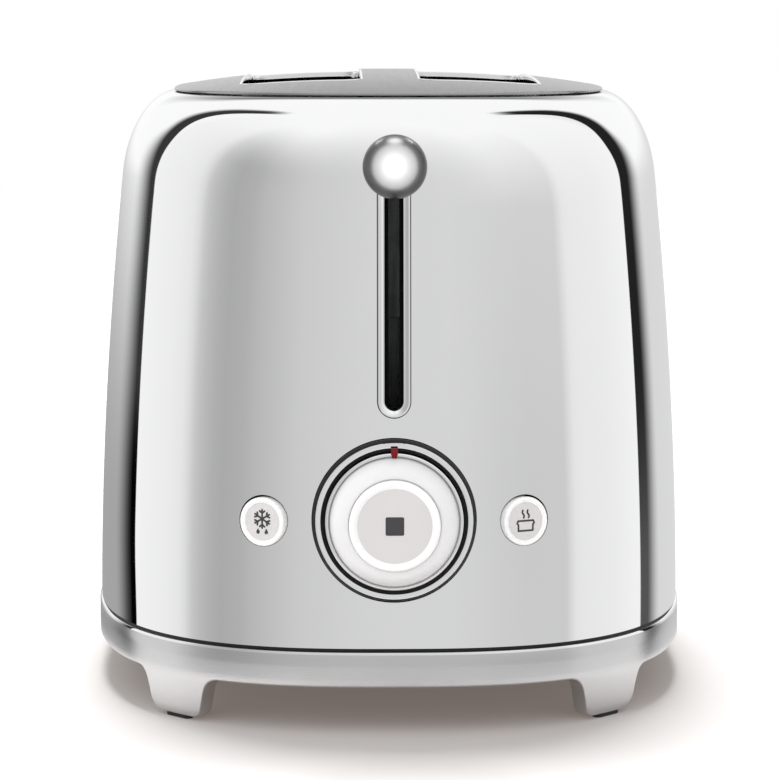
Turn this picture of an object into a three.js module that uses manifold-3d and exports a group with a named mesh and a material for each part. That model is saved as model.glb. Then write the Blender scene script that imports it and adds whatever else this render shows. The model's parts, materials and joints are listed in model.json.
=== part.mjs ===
// Two-slice toaster with a polished one-piece shell, a domed top plate, a ball lever and a round dial.
// Millimetres, +Z up, the front with the lever and the dial faces -Y.
import * as THREE from 'three';
import { mergeVertices } from 'three/addons/utils/BufferGeometryUtils.js';
import Module from 'manifold-3d';

const wasm = await Module();
wasm.setup();

// Overall form
const skirtWidth = 195;
const skirtLength = 290;
const overallHeight = 199.5;
const planPower = 2.7;             // exponent of the rounded-rectangle plan
const seatGap = 0.3;               // between a piece and what it rests against
const cutOverrun = 20;             // how far every cutting tool runs past its piece
const weldDistance = 0.0001;

// Smoothness of round work
const planSegments = 36;
const roundSegments = 20;
const smallSegments = 8;
const hiddenSegments = 12;
const wireSides = 4;

// Base skirt, feet and pads
const footHeight = 14;             // floor to the skirt's lower edge
const skirtHeight = 11.1;
const skirtWall = 6;
const skirtChamfer = 0.7;
const upstandHeight = 6;           // lip that the shell slides over
const upstandWall = 2;
const panLedge = 2;                // inward shelf under the base pan
const panLedgeThickness = 0.7;
const footSpacingShare = 0.7297;    // between the feet's centres, of the skirt's width
const footToeWidth = 18.8;
const footRootWidth = 26.5;
const footFillet = 5;
const footToeRadius = 3;
const footToeSetback = 1.2;        // the toe leans in from the skirt's face
const footToolDepth = 18;          // inwards reach of the form that cuts a foot's outline
const padHeight = 2.2;
const padExposed = 1.2;            // how much of a pad shows under its foot
const padWidth = 11;
const padDepth = 3.4;

// Shell
const shellWall = 1;
const shellSetback = 0.6;          // shell face behind the skirt's face
const shadowGap = 0.9;             // open line between skirt and shell
const wallLean = 11;               // how far the walls lean in by the top
const leanPower = 1.8;
const sideShoulderHeight = 26;
const endShoulderHeight = 33;
const topFlangeWidth = 7;
const wallLevelShares = [0.35, 0.7];
const shoulderLevelShares = [0, 0.4, 0.7, 0.92];

// Top plate with its two bread slots
const plateWidthShare = 0.736;
const plateLengthShare = 0.7517;
const plateThickness = 1.2;
const plateRimHeight = 1.8;
const plateRimRadius = 0.8;
const domeRise = 4.2;
const domeRingShares = [0.95, 0.7, 0.35];
const slotWidthShare = 0.195;
const slotLengthShare = 0.5;
const slotSpacingShare = 0.2933;    // between the two slots' centre lines, of the skirt's width
const slotCorner = 6;
const lipWall = 1.2;
const lipRise = 0.8;
const lipDepth = 9;

// Lever slot, its trim and its shield
const leverSlotWidth = 5.4;
const leverTrimWidth = 9.8;
const leverTrimProud = 0.8;
const leverNeckWall = 1;
const slotBelowTop = 12.4;         // top of the trim below the shell's top
const slotAboveDial = 6.4;         // foot of the trim above the dial bezel
const shieldWidth = 18;
const shieldThickness = 1.4;
const shieldSlit = 3.4;

// Lever, ball and carriage
const ballDiameter = 20.4;
const leverArmHeight = 7;
const leverArmWidth = 2.6;
const leverPinDiameter = 4;
const leverPinLength = 5;
const neckDiameter = 7.5;
const neckLength = 1.2;
const leverRestGap = 1.85;         // arm's top edge under the slot's end at rest
const leverFootWidth = 11;
const leverFootThickness = 2;
const carriageStandOff = 3;        // carriage in front of the front frame plate
const carriageThickness = 1.5;
const carriageBarHeight = 20;
const carriageColumnWidth = 15;
const carriageBelowRack = 4;
const carriageHubDiameter = 10;
const carriageHubHeight = 24;
const guideRodDiameter = 4;
const guideRodOffset = 17;         // beside the middle of the carriage
const guideRodReach = 10;          // in front of the front frame plate
const runningGap = 0.35;
const rackWidth = 10;
const rackNeckWidth = 5;
const rackEndGap = 4;              // full-width part of a rack ends this far from the frame plates
const rackThickness = 1.5;
const rackToothHeight = 4;
const rackToothThickness = 1;
const rackToothCount = 6;
const rackLowHeight = 39;          // rack above the base pan when the lever is down
const armatureWidth = 16;
const armatureHeight = 5;
const springWireDiameter = 1;
const springTurns = 6;
const springStepsPerTurn = 8;

// Inner frame, heaters and guards
const framePlateThickness = 1;
const frameToSlot = 7;             // frame plate beyond the end of the bread slots
const frameToShell = 7;
const frameTopDrop = 12.5;         // frame plate's top edge below the shell's top
const frameTabWidth = 11;
const frameTabDepth = 10;
const heaterThickness = 0.8;
const heaterBottomHeight = 38;     // above the base pan
const heaterTopDrop = 20;          // below the shell's top
const heaterToGuard = 5.5;
const heaterNotch = 3;
const ribbonWidth = 1.6;
const ribbonThickness = 0.5;
const ribbonRuns = 6;
const ribbonMargin = 8;
const reflectorThickness = 0.6;
const reflectorToHeater = 4;
const reflectorFlange = 5;
const guardWireDiameter = 1.6;
const guardToSlot = 0.9;           // guard wire outside the slot's edge at rest
const guardTravel = 7;
const guardWireCount = 4;
const guardBottomHeight = 42;      // above the base pan
const guardTopDrop = 20;           // below the shell's top
const guardFlare = 3;
const guardFlareHeight = 7;
const guardRunOut = 1.6;           // rails run this far through the frame plates

// Dial, its bezel and the stop button
const dialAboveSkirt = 40.2;
const bezelDiameter = 49.6;
const bezelWall = 3.6;
const bezelProud = 2.4;
const bezelLand = 1.3;             // flat bright ring of the bezel
const bezelDepth = 9.6;
const dialToBezel = 0.5;           // open ring between the dial and its bezel
const dialSkirtProud = 1.4;        // in front of the bezel
const dialSkirtStep = 1.3;
const dialDomeProud = 8.3;
const dialBandWidth = 6.9;         // dial's rim to the edge of the stop button
const stopProud = 2.1;             // in front of the dial's dome
const stopRimWidth = 2.4;
const stopRimHeight = 0.6;
const stopThickness = 4.2;
const stopTravel = 2;
const dialPocketGap = 0.4;
const dialTubeDiameter = 12;
const stopStemDiameter = 7;
const indexWidth = 2.1;
const indexLength = 3.1;
const indexHeight = 1.4;

// Side buttons
const buttonToBezel = 7.05;
const buttonDiameter = 15.5;
const buttonBelowDial = 0.9;       // between the dial's axis and the buttons'
const buttonSplay = 22;            // degrees that each button faces outwards
const buttonProud = 1.1;
const buttonRimWidth = 1.9;
const buttonRimHeight = 0.6;
const buttonThickness = 5;
const buttonTravel = 2;
const buttonStemDiameter = 5;
const buttonGuideWall = 1.4;
const buttonGuideFloor = 2;

// Control carrier, board and their parts
const carrierThickness = 2;
const carrierBeyondButtons = 8.1;
const carrierAboveBezel = 3.7;
const carrierBelowBezel = 2.2;
const cupWall = 2;
const boardBehindDial = 27;        // board's front face behind the shell's front
const boardThickness = 1.6;
const boardBeyondButtons = 8.4;
const boardHeight = 46;
const postDiameter = 5;
const postInset = 5;
const tactSize = 6;
const tactHeight = 3;
const controlDiameter = 26;
const controlDepth = 8;

// Base pan, crumb tray and what stands on the pan
const panThickness = 2;
const ventCount = 6;
const ventLength = 15;
const ventWidth = 3;
const ventPitch = 12;
const ventRowShare = 0.749;         // between the two rows of vents, of the skirt's width
const hookSpacingShare = 0.359;
const hookPlaceShare = 0.634;       // behind the middle, of half the skirt's length
const hookDrop = 5.5;
const hookPostWidth = 5;
const hookPostDepth = 9;
const hookBarLength = 17;
const hookBarThickness = 1.8;
const trayToTab = 2;               // beside the frame plates' screw tabs
const trayRimHeight = 3;
const trayWall = 0.8;
const trayHandleHeight = 6;
const trayHandleThickness = 4.5;
const trayOpeningMargin = 0.6;
const trayGripWidth = 40;
const trayGripDepth = 2.4;
const trayGripHeight = 2.6;
const magnetWidth = 18;
const magnetDepth = 13;
const magnetOffset = 17;
const magnetCoilStep = 3;
const switchWidth = 14;
const switchDepth = 11;
const switchHeight = 22;
const switchPlaceShare = 0.597;    // beside the middle, of the frame plates' half width
const switchLift = 12;
const glandDiameter = 14;
const glandBore = 7;
const glandFlange = 2;
const glandFlangeThickness = 1.6;
const glandDrop = 6.5;
const glandSideShare = 0.759;       // beside the middle, of half the skirt's width
const glandPlaceShare = 0.379;      // behind the middle, of half the skirt's length
const screwDiameter = 3.2;
const screwHeadDiameter = 6.4;
const screwHeadHeight = 1.8;
const screwGap = 0.25;

// Heights and places that follow from the sizes above
const halfWidth = skirtWidth / 2;
const halfLength = skirtLength / 2;
const plateWidth = skirtWidth * plateWidthShare;
const plateLength = skirtLength * plateLengthShare;
const slotWidth = skirtWidth * slotWidthShare;
const slotLength = skirtLength * slotLengthShare;
const slotSpacing = skirtWidth * slotSpacingShare;
const footCentreSpacing = skirtWidth * footSpacingShare;
const bezelBore = bezelDiameter - 2 * bezelWall;
const dialSkirtDiameter = bezelBore - 2 * dialToBezel;
const stopDiameter = dialSkirtDiameter - 2 * dialBandWidth;
const buttonSpacing = bezelDiameter + 2 * buttonToBezel + buttonDiameter;
const carrierHalfWidth = (buttonSpacing + buttonDiameter) / 2 + carrierBeyondButtons;
const boardWidth = buttonSpacing + 2 * boardBeyondButtons;
const skirtTop = footHeight + skirtHeight;
const shellBottom = skirtTop + shadowGap;
const shellTop = overallHeight - lipRise - domeRise - plateRimHeight - seatGap;
const sideShoulderSpan = halfWidth - shellSetback - wallLean - plateWidth / 2 + seatGap;
const endShoulderSpan = halfLength - shellSetback - wallLean - plateLength / 2 + seatGap;
const panBottom = footHeight + panLedgeThickness + seatGap;
const panTop = panBottom + panThickness;
const dialHeight = skirtTop + dialAboveSkirt;
const leverSlotTop = shellTop - slotBelowTop;
const leverSlotBottom = dialHeight + bezelDiameter / 2 + slotAboveDial;
const leverTrimWall = (leverTrimWidth - leverSlotWidth) / 2;
const leverRestHeight = leverSlotTop - leverTrimWall - leverRestGap - leverArmHeight / 2;
const leverLowHeight = leverSlotBottom + leverTrimWall + leverArmHeight / 2 + 2 * seatGap;
const leverTravel = leverRestHeight - leverLowHeight;
const frameY = slotLength / 2 + frameToSlot;
const frameTop = shellTop - frameTopDrop;
const rackRestHeight = panTop + rackLowHeight + leverTravel;
const guardOut = slotWidth / 2 + guardToSlot + guardWireDiameter / 2;
const guardBottom = panTop + guardBottomHeight;
const guardTop = shellTop - guardTopDrop;
const heaterBottom = panTop + heaterBottomHeight;
const heaterTop = shellTop - heaterTopDrop;
const outerHeaterX = slotSpacing / 2 + guardOut + guardWireDiameter / 2 + heaterToGuard;
const reflectorX = outerHeaterX + heaterThickness / 2 + reflectorToHeater;
const frameFace = frameY + framePlateThickness / 2;
const frameInner = frameY - framePlateThickness / 2 - seatGap;
const carriageRear = -frameFace - carriageStandOff;
const carriageFront = carriageRear - carriageThickness;
const carriageBottom = rackRestHeight - carriageBelowRack;
const guideRodY = -frameFace - guideRodReach;

// Closed solids, joined and cut
function toSolid(geometry) {
  const bare = geometry.clone();
  bare.deleteAttribute('normal');
  bare.deleteAttribute('uv');
  const welded = mergeVertices(bare, weldDistance);
  const faces = [];
  for (let i = 0; i < welded.index.count; i += 3) {
    const [a, b, c] = [0, 1, 2].map((corner) => welded.index.getX(i + corner));
    if (a !== b && b !== c && c !== a) faces.push(a, b, c);
  }
  return new wasm.Manifold(new wasm.Mesh({
    numProp: 3,
    vertProperties: new Float32Array(welded.attributes.position.array),
    triVerts: new Uint32Array(faces),
  }));
}

function toGeometry(solid) {
  const { vertProperties, triVerts } = solid.getMesh();
  const geometry = new THREE.BufferGeometry();
  geometry.setAttribute('position', new THREE.BufferAttribute(vertProperties, 3));
  geometry.setIndex(new THREE.BufferAttribute(triVerts, 1));
  return geometry;
}

function join(...geometries) {
  return toGeometry(geometries.map(toSolid).reduce((whole, next) => whole.add(next)));
}

function cut(geometry, ...tools) {
  return toGeometry(tools.map(toSolid).reduce((left, tool) => left.subtract(tool), toSolid(geometry)));
}

function common(first, second) {
  return toGeometry(toSolid(first).intersect(toSolid(second)));
}

// Plain building forms
function block(x0, x1, y0, y1, z0, z1) {
  const box = new THREE.BoxGeometry(x1 - x0, y1 - y0, z1 - z0);
  return box.translate((x0 + x1) / 2, (y0 + y1) / 2, (z0 + z1) / 2);
}

function post(diameter, z0, z1, x = 0, y = 0, segments = smallSegments) {
  const rod = new THREE.CylinderGeometry(diameter / 2, diameter / 2, z1 - z0, segments);
  return rod.rotateX(Math.PI / 2).translate(x, y, (z0 + z1) / 2);
}

function axle(diameter, y0, y1, x = 0, z = 0, segments = smallSegments) {
  const rod = new THREE.CylinderGeometry(diameter / 2, diameter / 2, y1 - y0, segments);
  return rod.translate(x, (y0 + y1) / 2, z);
}

// Turned about the Y axis from a closed outline of [radius, y] points
function turned(outline, segments = roundSegments) {
  const area = outline.reduce((sum, [r, y], i) => {
    const [nextR, nextY] = outline[(i + 1) % outline.length];
    return sum + r * nextY - nextR * y;
  }, 0);
  const ordered = area > 0 ? outline : [...outline].reverse();
  const points = [...ordered, ordered[0]].map(([r, y]) => new THREE.Vector2(r, y));
  return new THREE.LatheGeometry(points, segments);
}

function extruded(points, depth, bottom = 0) {
  const shape = new THREE.Shape(points.map(([x, y]) => new THREE.Vector2(x, y)));
  return new THREE.ExtrudeGeometry(shape, { depth, bevelEnabled: false }).translate(0, 0, bottom);
}

// Upright outline in X and Z, with its thickness along Y from y0 to y1
function upright(points, y0, y1) {
  return extruded(points, y1 - y0).rotateX(Math.PI / 2).translate(0, y1, 0);
}

// Upright outline in Y and Z, with its thickness along X from x0 to x1
function sideways(points, x0, x1) {
  return extruded(points, x1 - x0).rotateX(Math.PI / 2).rotateZ(Math.PI / 2).translate(x0, 0, 0);
}

function roundedRectangle(width, height, radius, steps = 3) {
  const points = [];
  for (let corner = 0; corner < 4; corner += 1) {
    const across = (corner === 0 || corner === 3 ? 1 : -1) * (width / 2 - radius);
    const along = (corner < 2 ? 1 : -1) * (height / 2 - radius);
    for (let step = 0; step <= steps; step += 1) {
      const turn = (corner + step / steps) * Math.PI / 2;
      points.push([across + radius * Math.cos(turn), along + radius * Math.sin(turn)]);
    }
  }
  return points;
}

// Plan outline of the body
function planPoint(side, end, turn) {
  const [x, y] = [Math.cos(turn), Math.sin(turn)];
  return [
    side * Math.sign(x) * Math.abs(x) ** (2 / planPower),
    end * Math.sign(y) * Math.abs(y) ** (2 / planPower),
  ];
}

function planOutline(inset) {
  return Array.from({ length: planSegments }, (_, i) => (
    planPoint(halfWidth - inset, halfLength - inset, 2 * Math.PI * i / planSegments)));
}

function planDepthAt(side, end, x) {
  return end * (1 - (Math.abs(x) / side) ** planPower) ** (1 / planPower);
}

// Skin over rings of [half width, half length, height]; a loop of rings, or two ends closed at a centre
function lofted(rings, centres) {
  const positions = [];
  const faces = [];
  rings.forEach(([side, end, z]) => {
    for (let i = 0; i < planSegments; i += 1) {
      positions.push(...planPoint(side, end, 2 * Math.PI * i / planSegments), z);
    }
  });
  const vertex = (ring, i) => ring * planSegments + i % planSegments;
  const ringPairs = centres ? rings.length - 1 : rings.length;
  for (let ring = 0; ring < ringPairs; ring += 1) {
    const next = (ring + 1) % rings.length;
    for (let i = 0; i < planSegments; i += 1) {
      faces.push(vertex(ring, i), vertex(ring, i + 1), vertex(next, i + 1));
      faces.push(vertex(ring, i), vertex(next, i + 1), vertex(next, i));
    }
  }
  if (centres) {
    const first = rings.length * planSegments;
    positions.push(0, 0, centres[0], 0, 0, centres[1]);
    for (let i = 0; i < planSegments; i += 1) {
      faces.push(first, vertex(0, i + 1), vertex(0, i));
      faces.push(first + 1, vertex(rings.length - 1, i), vertex(rings.length - 1, i + 1));
    }
  }
  const geometry = new THREE.BufferGeometry();
  geometry.setAttribute('position', new THREE.Float32BufferAttribute(positions, 3));
  geometry.setIndex(faces);
  return geometry;
}

// Shell surface: half width and half length at a height, moved inwards by an offset
function shoulderInset(span, height, z) {
  const climb = Math.min(1, Math.max(0, (z - shellTop + height) / height));
  return span * (1 - Math.sqrt(1 - climb ** 2));
}

const shoulderFoot = shellTop - endShoulderHeight;
const shellLevels = [
  shellBottom,
  ...wallLevelShares.map((share) => shellBottom + (shoulderFoot - shellBottom) * share),
  ...shoulderLevelShares.map((share) => shoulderFoot + endShoulderHeight * share),
  shellTop,
].map((z) => {
  const inset = shellSetback + wallLean * ((z - skirtTop) / (shellTop - skirtTop)) ** leanPower;
  return [
    z,
    halfWidth - inset - shoulderInset(sideShoulderSpan, sideShoulderHeight, z),
    halfLength - inset - shoulderInset(endShoulderSpan, endShoulderHeight, z),
  ];
});

// An offset moves the surface inwards and down by the same amount, so that a wall keeps its thickness
function shellHalves(z, offset = 0) {
  const height = z + offset;
  const upper = Math.max(1, shellLevels.findIndex(([level]) => level >= height));
  const [[z0, side0, end0], [z1, side1, end1]] = [shellLevels[upper - 1], shellLevels[upper]];
  const share = Math.max(0, (height - z0) / (z1 - z0));
  return [side0 + (side1 - side0) * share - offset, end0 + (end1 - end0) * share - offset];
}

function shellFrontAt(x, z, offset = 0) {
  const [side, end] = shellHalves(z, offset);
  return -planDepthAt(side, end, x);
}

// Closed band that follows the shell between two heights, from one offset to another
function shellBand(outerOffset, innerOffset, z0, z1) {
  const face = (offset) => {
    const between = shellLevels.map(([level]) => level - offset).filter((z) => z > z0 && z < z1);
    return [z0, ...between, z1].map((z) => [...shellHalves(z, offset), z]);
  };
  return lofted([...face(outerOffset), ...face(innerOffset).reverse()]);
}

// Places that follow the shell's front face
const shellFront = shellFrontAt(0, dialHeight);
const bezelFront = shellFront - bezelProud;
const bezelRear = bezelFront + bezelDepth;
const cupFloor = bezelRear + seatGap;
const dialDomeFront = bezelFront - dialDomeProud;
const stopFront = dialDomeFront - stopProud;
const stopRear = stopFront + stopThickness;
const boardFace = shellFront + boardBehindDial;
const tactFace = boardFace - tactHeight;
const trimFront = shellFrontAt(0, leverLowHeight - ballDiameter / 2) - seatGap - leverTrimProud;
const ballY = trimFront - runningGap - neckLength - ballDiameter / 2;

// Half width of the frame plates, and the tray that fits between their screw tabs
const frameSide = planDepthAt(
  shellHalves(frameTop, shellWall)[1], shellHalves(frameTop, shellWall)[0], frameY) - frameToShell;
const trayWidth = 2 * (frameSide - frameTabWidth - trayToTab);
const switchX = frameSide * switchPlaceShare;

// Finishes
function finish(color, metalness, roughness) {
  return new THREE.MeshStandardMaterial({ color, metalness, roughness });
}
const finishes = {
  polished: finish(0xd9dadb, 1, 0.06),
  satin: finish(0xb9b9ba, 1, 0.32),
  castSatin: finish(0xc6c8c9, 0.9, 0.38),
  steel: finish(0xa9acae, 1, 0.42),
  mica: finish(0xcfc4a6, 0, 0.6),
  heatingRibbon: finish(0x8d8176, 1, 0.5),
  blackPlastic: finish(0x111312, 0, 0.5),
  greyPlastic: finish(0x3a3c3e, 0, 0.6),
  board: finish(0x1f5a34, 0, 0.5),
  whiteGloss: finish(0xf1f1f1, 0, 0.22),
  pad: finish(0x17181a, 0, 0.85),
  red: finish(0x9c1020, 0, 0.4),
};

// The body is drawn about its own middle; the group moves it so that the whole part is centred
const toaster = new THREE.Group();
toaster.position.y = (-(ballY - ballDiameter / 2) - halfLength) / 2;

function add(name, material, geometry, parent = toaster) {
  const mesh = new THREE.Mesh(geometry, finishes[material]);
  mesh.name = name;
  parent.add(mesh);
  return mesh;
}

// Base skirt: one casting with a ledge for the pan, a lip for the shell and four feet
function footFrame(acrossSign, alongSign) {
  const x = footCentreSpacing / 2;
  const y = planDepthAt(halfWidth, halfLength, x);
  const slopeX = (x / halfWidth) ** (planPower - 1) / halfWidth;
  const slopeY = (y / halfLength) ** (planPower - 1) / halfLength;
  const facing = Math.atan2(alongSign * slopeY, acrossSign * slopeX) - Math.PI / 2;
  return (geometry) => geometry.rotateZ(facing).translate(acrossSign * x, alongSign * y, 0);
}

function footOutline() {
  const [toe, root] = [footToeWidth / 2, footRootWidth / 2];
  const flank = Math.hypot(root - toe, footHeight - padExposed);
  const along = (distance, from, to) => [
    from[0] + (to[0] - from[0]) * distance / flank,
    from[1] + (to[1] - from[1]) * distance / flank,
  ];
  const [rootPoint, toePoint] = [[root, footHeight], [toe, padExposed]];
  const shape = new THREE.Shape();
  shape.moveTo(root + footFillet, footHeight + skirtChamfer);
  shape.lineTo(-root - footFillet, footHeight + skirtChamfer);
  shape.lineTo(-root - footFillet, footHeight);
  const [filletX, filletZ] = along(footFillet, rootPoint, toePoint);
  const [toeX, toeZ] = along(footToeRadius, toePoint, rootPoint);
  shape.quadraticCurveTo(-root, footHeight, -filletX, filletZ);
  shape.lineTo(-toeX, toeZ);
  shape.quadraticCurveTo(-toe, padExposed, -toe + footToeRadius, padExposed);
  shape.lineTo(toe - footToeRadius, padExposed);
  shape.quadraticCurveTo(toe, padExposed, toeX, toeZ);
  shape.lineTo(filletX, filletZ);
  shape.quadraticCurveTo(root, footHeight, root + footFillet, footHeight);
  return shape.extractPoints(2).shape.map(({ x, y }) => [x, y]).slice(0, -1);
}

function padBody(growth, top) {
  const outline = roundedRectangle(padWidth + growth, padDepth + growth, (padDepth + growth) / 2);
  return extruded(outline, top).translate(0, -skirtWall / 2 - footToeSetback / 2, 0);
}

const corners = [
  ['front_left', -1, -1], ['front_right', 1, -1], ['rear_left', -1, 1], ['rear_right', 1, 1],
];

function trayOpening(grow) {
  const half = trayWidth / 2 + grow;
  const bottom = panTop + seatGap;
  const [low, high] = [bottom - grow / 2, bottom + trayHandleHeight + grow];
  return block(-half, half, frameFace, halfLength + cutOverrun, low, high);
}

function baseSkirt() {
  const lip = shellSetback + shellWall + seatGap;
  const ledgeTop = footHeight + panLedgeThickness;
  const at = (inset, z) => [halfWidth - inset, halfLength - inset, z];
  const ring = lofted([
    at(skirtChamfer / 2, footHeight), at(0, footHeight + skirtChamfer),
    at(0, skirtTop - skirtChamfer), at(skirtChamfer, skirtTop), at(lip, skirtTop),
    at(lip, skirtTop + upstandHeight), at(lip + upstandWall, skirtTop + upstandHeight),
    at(lip + upstandWall, skirtTop), at(skirtWall, skirtTop - skirtChamfer), at(skirtWall, ledgeTop),
    at(skirtWall + panLedge, ledgeTop), at(skirtWall + panLedge, footHeight),
  ]);
  const legRing = lofted([
    at(footToeSetback, padExposed), at(0, footHeight + skirtChamfer),
    at(skirtWall, footHeight + skirtChamfer), at(skirtWall + footToeSetback, padExposed),
  ]);
  const legs = corners.map(([, across, along]) => (
    common(legRing, footFrame(across, along)(upright(footOutline(), -footToolDepth, skirtWall)))));
  const pockets = corners.map(([, across, along]) => (
    footFrame(across, along)(padBody(2 * seatGap, padHeight + seatGap))));
  return cut(join(ring, ...legs), trayOpening(trayOpeningMargin), ...pockets);
}

add('base_skirt', 'castSatin', baseSkirt());
corners.forEach(([name, across, along]) => {
  add(`foot_pad_${name}`, 'pad', footFrame(across, along)(padBody(0, padHeight)));
});

// Outer shell
function buttonPlace(side) {
  const x = side * buttonSpacing / 2;
  const z = dialHeight - buttonBelowDial;
  return [x, shellFrontAt(x, z), z];
}

// Moves a form drawn round the Y axis, with the shell's face at y = 0, to a side button's place
function onButtonAxis(geometry, side) {
  return geometry.rotateZ(side * buttonSplay * Math.PI / 180).translate(...buttonPlace(side));
}

function leverSlotOutline(grow) {
  const width = leverSlotWidth + grow;
  const height = leverSlotTop - leverSlotBottom - 2 * leverTrimWall + grow;
  const middle = (leverSlotTop + leverSlotBottom) / 2;
  return roundedRectangle(width, height, width / 2, 4).map(([x, z]) => [x, z + middle]);
}

function leverSlotPrism(grow) {
  return upright(leverSlotOutline(grow), -halfLength - cutOverrun, -frameFace);
}

function outerShell() {
  const heights = shellLevels.map(([z]) => z);
  const [side, end] = shellHalves(shellTop);
  const innerHeights = heights.slice(1).reverse();
  const skin = lofted([
    ...heights.map((z) => [...shellHalves(z), z]),
    [side - topFlangeWidth, end - topFlangeWidth, shellTop],
    [side - topFlangeWidth, end - topFlangeWidth, shellTop - shellWall],
    ...innerHeights.map((z) => [...shellHalves(z - shellWall, shellWall), z - shellWall]),
    [...shellHalves(shellBottom, shellWall), shellBottom],
  ]);
  const holes = [-1, 1].map((at) => (
    onButtonAxis(axle(buttonDiameter + 2 * runningGap, -cutOverrun, cutOverrun, 0, 0, roundSegments), at)));
  const dialHole = axle(
    bezelDiameter + 2 * seatGap, -halfLength - cutOverrun, -frameFace, 0, dialHeight, roundSegments);
  return cut(skin, leverSlotPrism(2 * leverNeckWall + 2 * seatGap), dialHole, ...holes);
}
add('outer_shell', 'polished', outerShell());

// Top plate: a domed pressing with turned lips round the bread slots
function topPlate() {
  const base = shellTop + seatGap;
  const [side, end] = [plateWidth / 2, plateLength / 2];
  const domeAt = (share) => base + plateRimHeight + domeRise * (1 - share ** 2);
  const domeRings = (drop, lift) => domeRingShares.map((share) => (
    [(side - drop) * share, (end - drop) * share, domeAt(share) + lift]));
  const edge = (inset, z) => [side - inset, end - inset, z];
  const plate = lofted([
    ...domeRings(plateThickness, -plateThickness).reverse(),
    edge(plateThickness, base), edge(plateRimRadius / 2, base),
    edge(0, base + plateRimRadius / 2), edge(0, base + plateRimHeight - plateRimRadius),
    edge(plateRimRadius / 3, base + plateRimHeight - plateRimRadius / 3),
    edge(plateRimRadius, base + plateRimHeight), ...domeRings(0, 0),
  ], [domeAt(0) - plateThickness, domeAt(0)]);
  const lipFoot = domeAt(0) - lipDepth;
  const lipBlock = lofted([
    edge(plateThickness, lipFoot), edge(plateThickness, base + plateRimHeight),
    ...domeRings(0, lipRise),
  ], [lipFoot, domeAt(0) + lipRise]);
  const slotPrism = (at, grow) => extruded(
    roundedRectangle(slotWidth + grow, slotLength + grow, slotCorner + grow / 2),
    lipDepth + 2 * cutOverrun, lipFoot - cutOverrun).translate(at * slotSpacing / 2, 0, 0);
  const lips = [-1, 1].map((at) => common(lipBlock, slotPrism(at, 2 * lipWall)));
  return cut(join(plate, ...lips), ...[-1, 1].map((at) => slotPrism(at, 0)));
}
add('top_plate', 'satin', topPlate());

// Lever slot: a bright trim outside and a black slit plate inside
function leverSlotTrim() {
  const [low, high] = [leverSlotBottom - leverSlotWidth, leverSlotTop + leverSlotWidth];
  const flange = common(
    shellBand(-seatGap - leverTrimProud, -seatGap, low, high), leverSlotPrism(2 * leverTrimWall));
  const neck = common(
    shellBand(-seatGap - leverTrimProud / 2, shellWall, low, high), leverSlotPrism(2 * leverNeckWall));
  return cut(join(flange, neck), leverSlotPrism(0));
}
add('lever_slot_trim', 'polished', leverSlotTrim());

function slotShield() {
  const [low, high] = [leverSlotBottom - seatGap, leverSlotTop + seatGap];
  const inner = shellWall + seatGap;
  const plate = common(
    shellBand(inner, inner + shieldThickness, low, high),
    block(-shieldWidth / 2, shieldWidth / 2, -halfLength, -frameFace, low, high));
  const slitLow = leverLowHeight - leverArmHeight / 2 - runningGap;
  const slitHigh = leverRestHeight + leverArmHeight / 2 + runningGap;
  return cut(plate, block(-shieldSlit / 2, shieldSlit / 2, -halfLength, -frameFace, slitLow, slitHigh));
}
add('slot_shield', 'blackPlastic', slotShield());

// Dial bezel, browning dial with its index, and stop button
function dialBezel() {
  const [outer, bore] = [bezelDiameter / 2, bezelBore / 2];
  const chamfer = (outer - bore - bezelLand) / 2;
  return turned([
    [outer, bezelRear], [outer, bezelFront + chamfer], [outer - chamfer, bezelFront],
    [outer - chamfer - bezelLand, bezelFront], [bore, bezelFront + chamfer], [bore, bezelRear],
  ]);
}

function browningDial() {
  const skirt = dialSkirtDiameter / 2;
  const skirtFront = bezelFront - dialSkirtProud;
  const dome = skirt - dialSkirtStep;
  const pocket = stopDiameter / 2 + dialPocketGap;
  const tube = dialTubeDiameter / 2;
  const tubeBore = stopStemDiameter / 2 + runningGap;
  const domeSteps = 4;
  const domeCurve = Array.from({ length: domeSteps + 1 }, (_, i) => {
    const turn = i / domeSteps * Math.PI / 2;
    return [
      pocket + (dome - pocket) * Math.cos(turn),
      skirtFront - runningGap + (dialDomeFront - skirtFront + runningGap) * Math.sin(turn),
    ];
  });
  const floor = stopRear + stopTravel + seatGap;
  const tubeEnd = tactFace - runningGap;
  const back = cupFloor - runningGap;
  return turned([
    [tube, tubeEnd], [tube, back], [skirt, back], [skirt, skirtFront + runningGap],
    [skirt - runningGap, skirtFront], [dome, skirtFront], ...domeCurve,
    [pocket, floor], [tubeBore, floor], [tubeBore, tubeEnd],
  ]);
}

function indexMark(grow) {
  const outer = dialSkirtDiameter / 2 + indexLength - dialSkirtStep;
  const front = bezelFront - dialSkirtProud - indexHeight / 2;
  const half = indexWidth / 2 + grow;
  return block(
    -half, half, front - grow, front + indexHeight + grow,
    dialHeight + outer - indexLength - grow, dialHeight + outer + grow);
}

function stopButton() {
  const [edge, stem] = [stopDiameter / 2, stopStemDiameter / 2];
  const disc = stopFront + stopRimHeight;
  const stemEnd = tactFace - stopTravel - seatGap;
  return turned([
    [0, disc], [edge - stopRimWidth - stopRimHeight, disc], [edge - stopRimWidth, stopFront],
    [edge - stopRimHeight, stopFront], [edge, stopFront + stopRimHeight], [edge, stopRear],
    [stem, stopRear], [stem, stemEnd], [0, stemEnd],
  ]);
}

const atDial = (geometry) => geometry.translate(0, 0, dialHeight);
add('dial_bezel', 'polished', atDial(dialBezel()));
add('browning_dial', 'whiteGloss', cut(atDial(browningDial()), indexMark(seatGap)));
add('dial_index', 'red', indexMark(0));
add('stop_button', 'whiteGloss', atDial(stopButton()));

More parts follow.
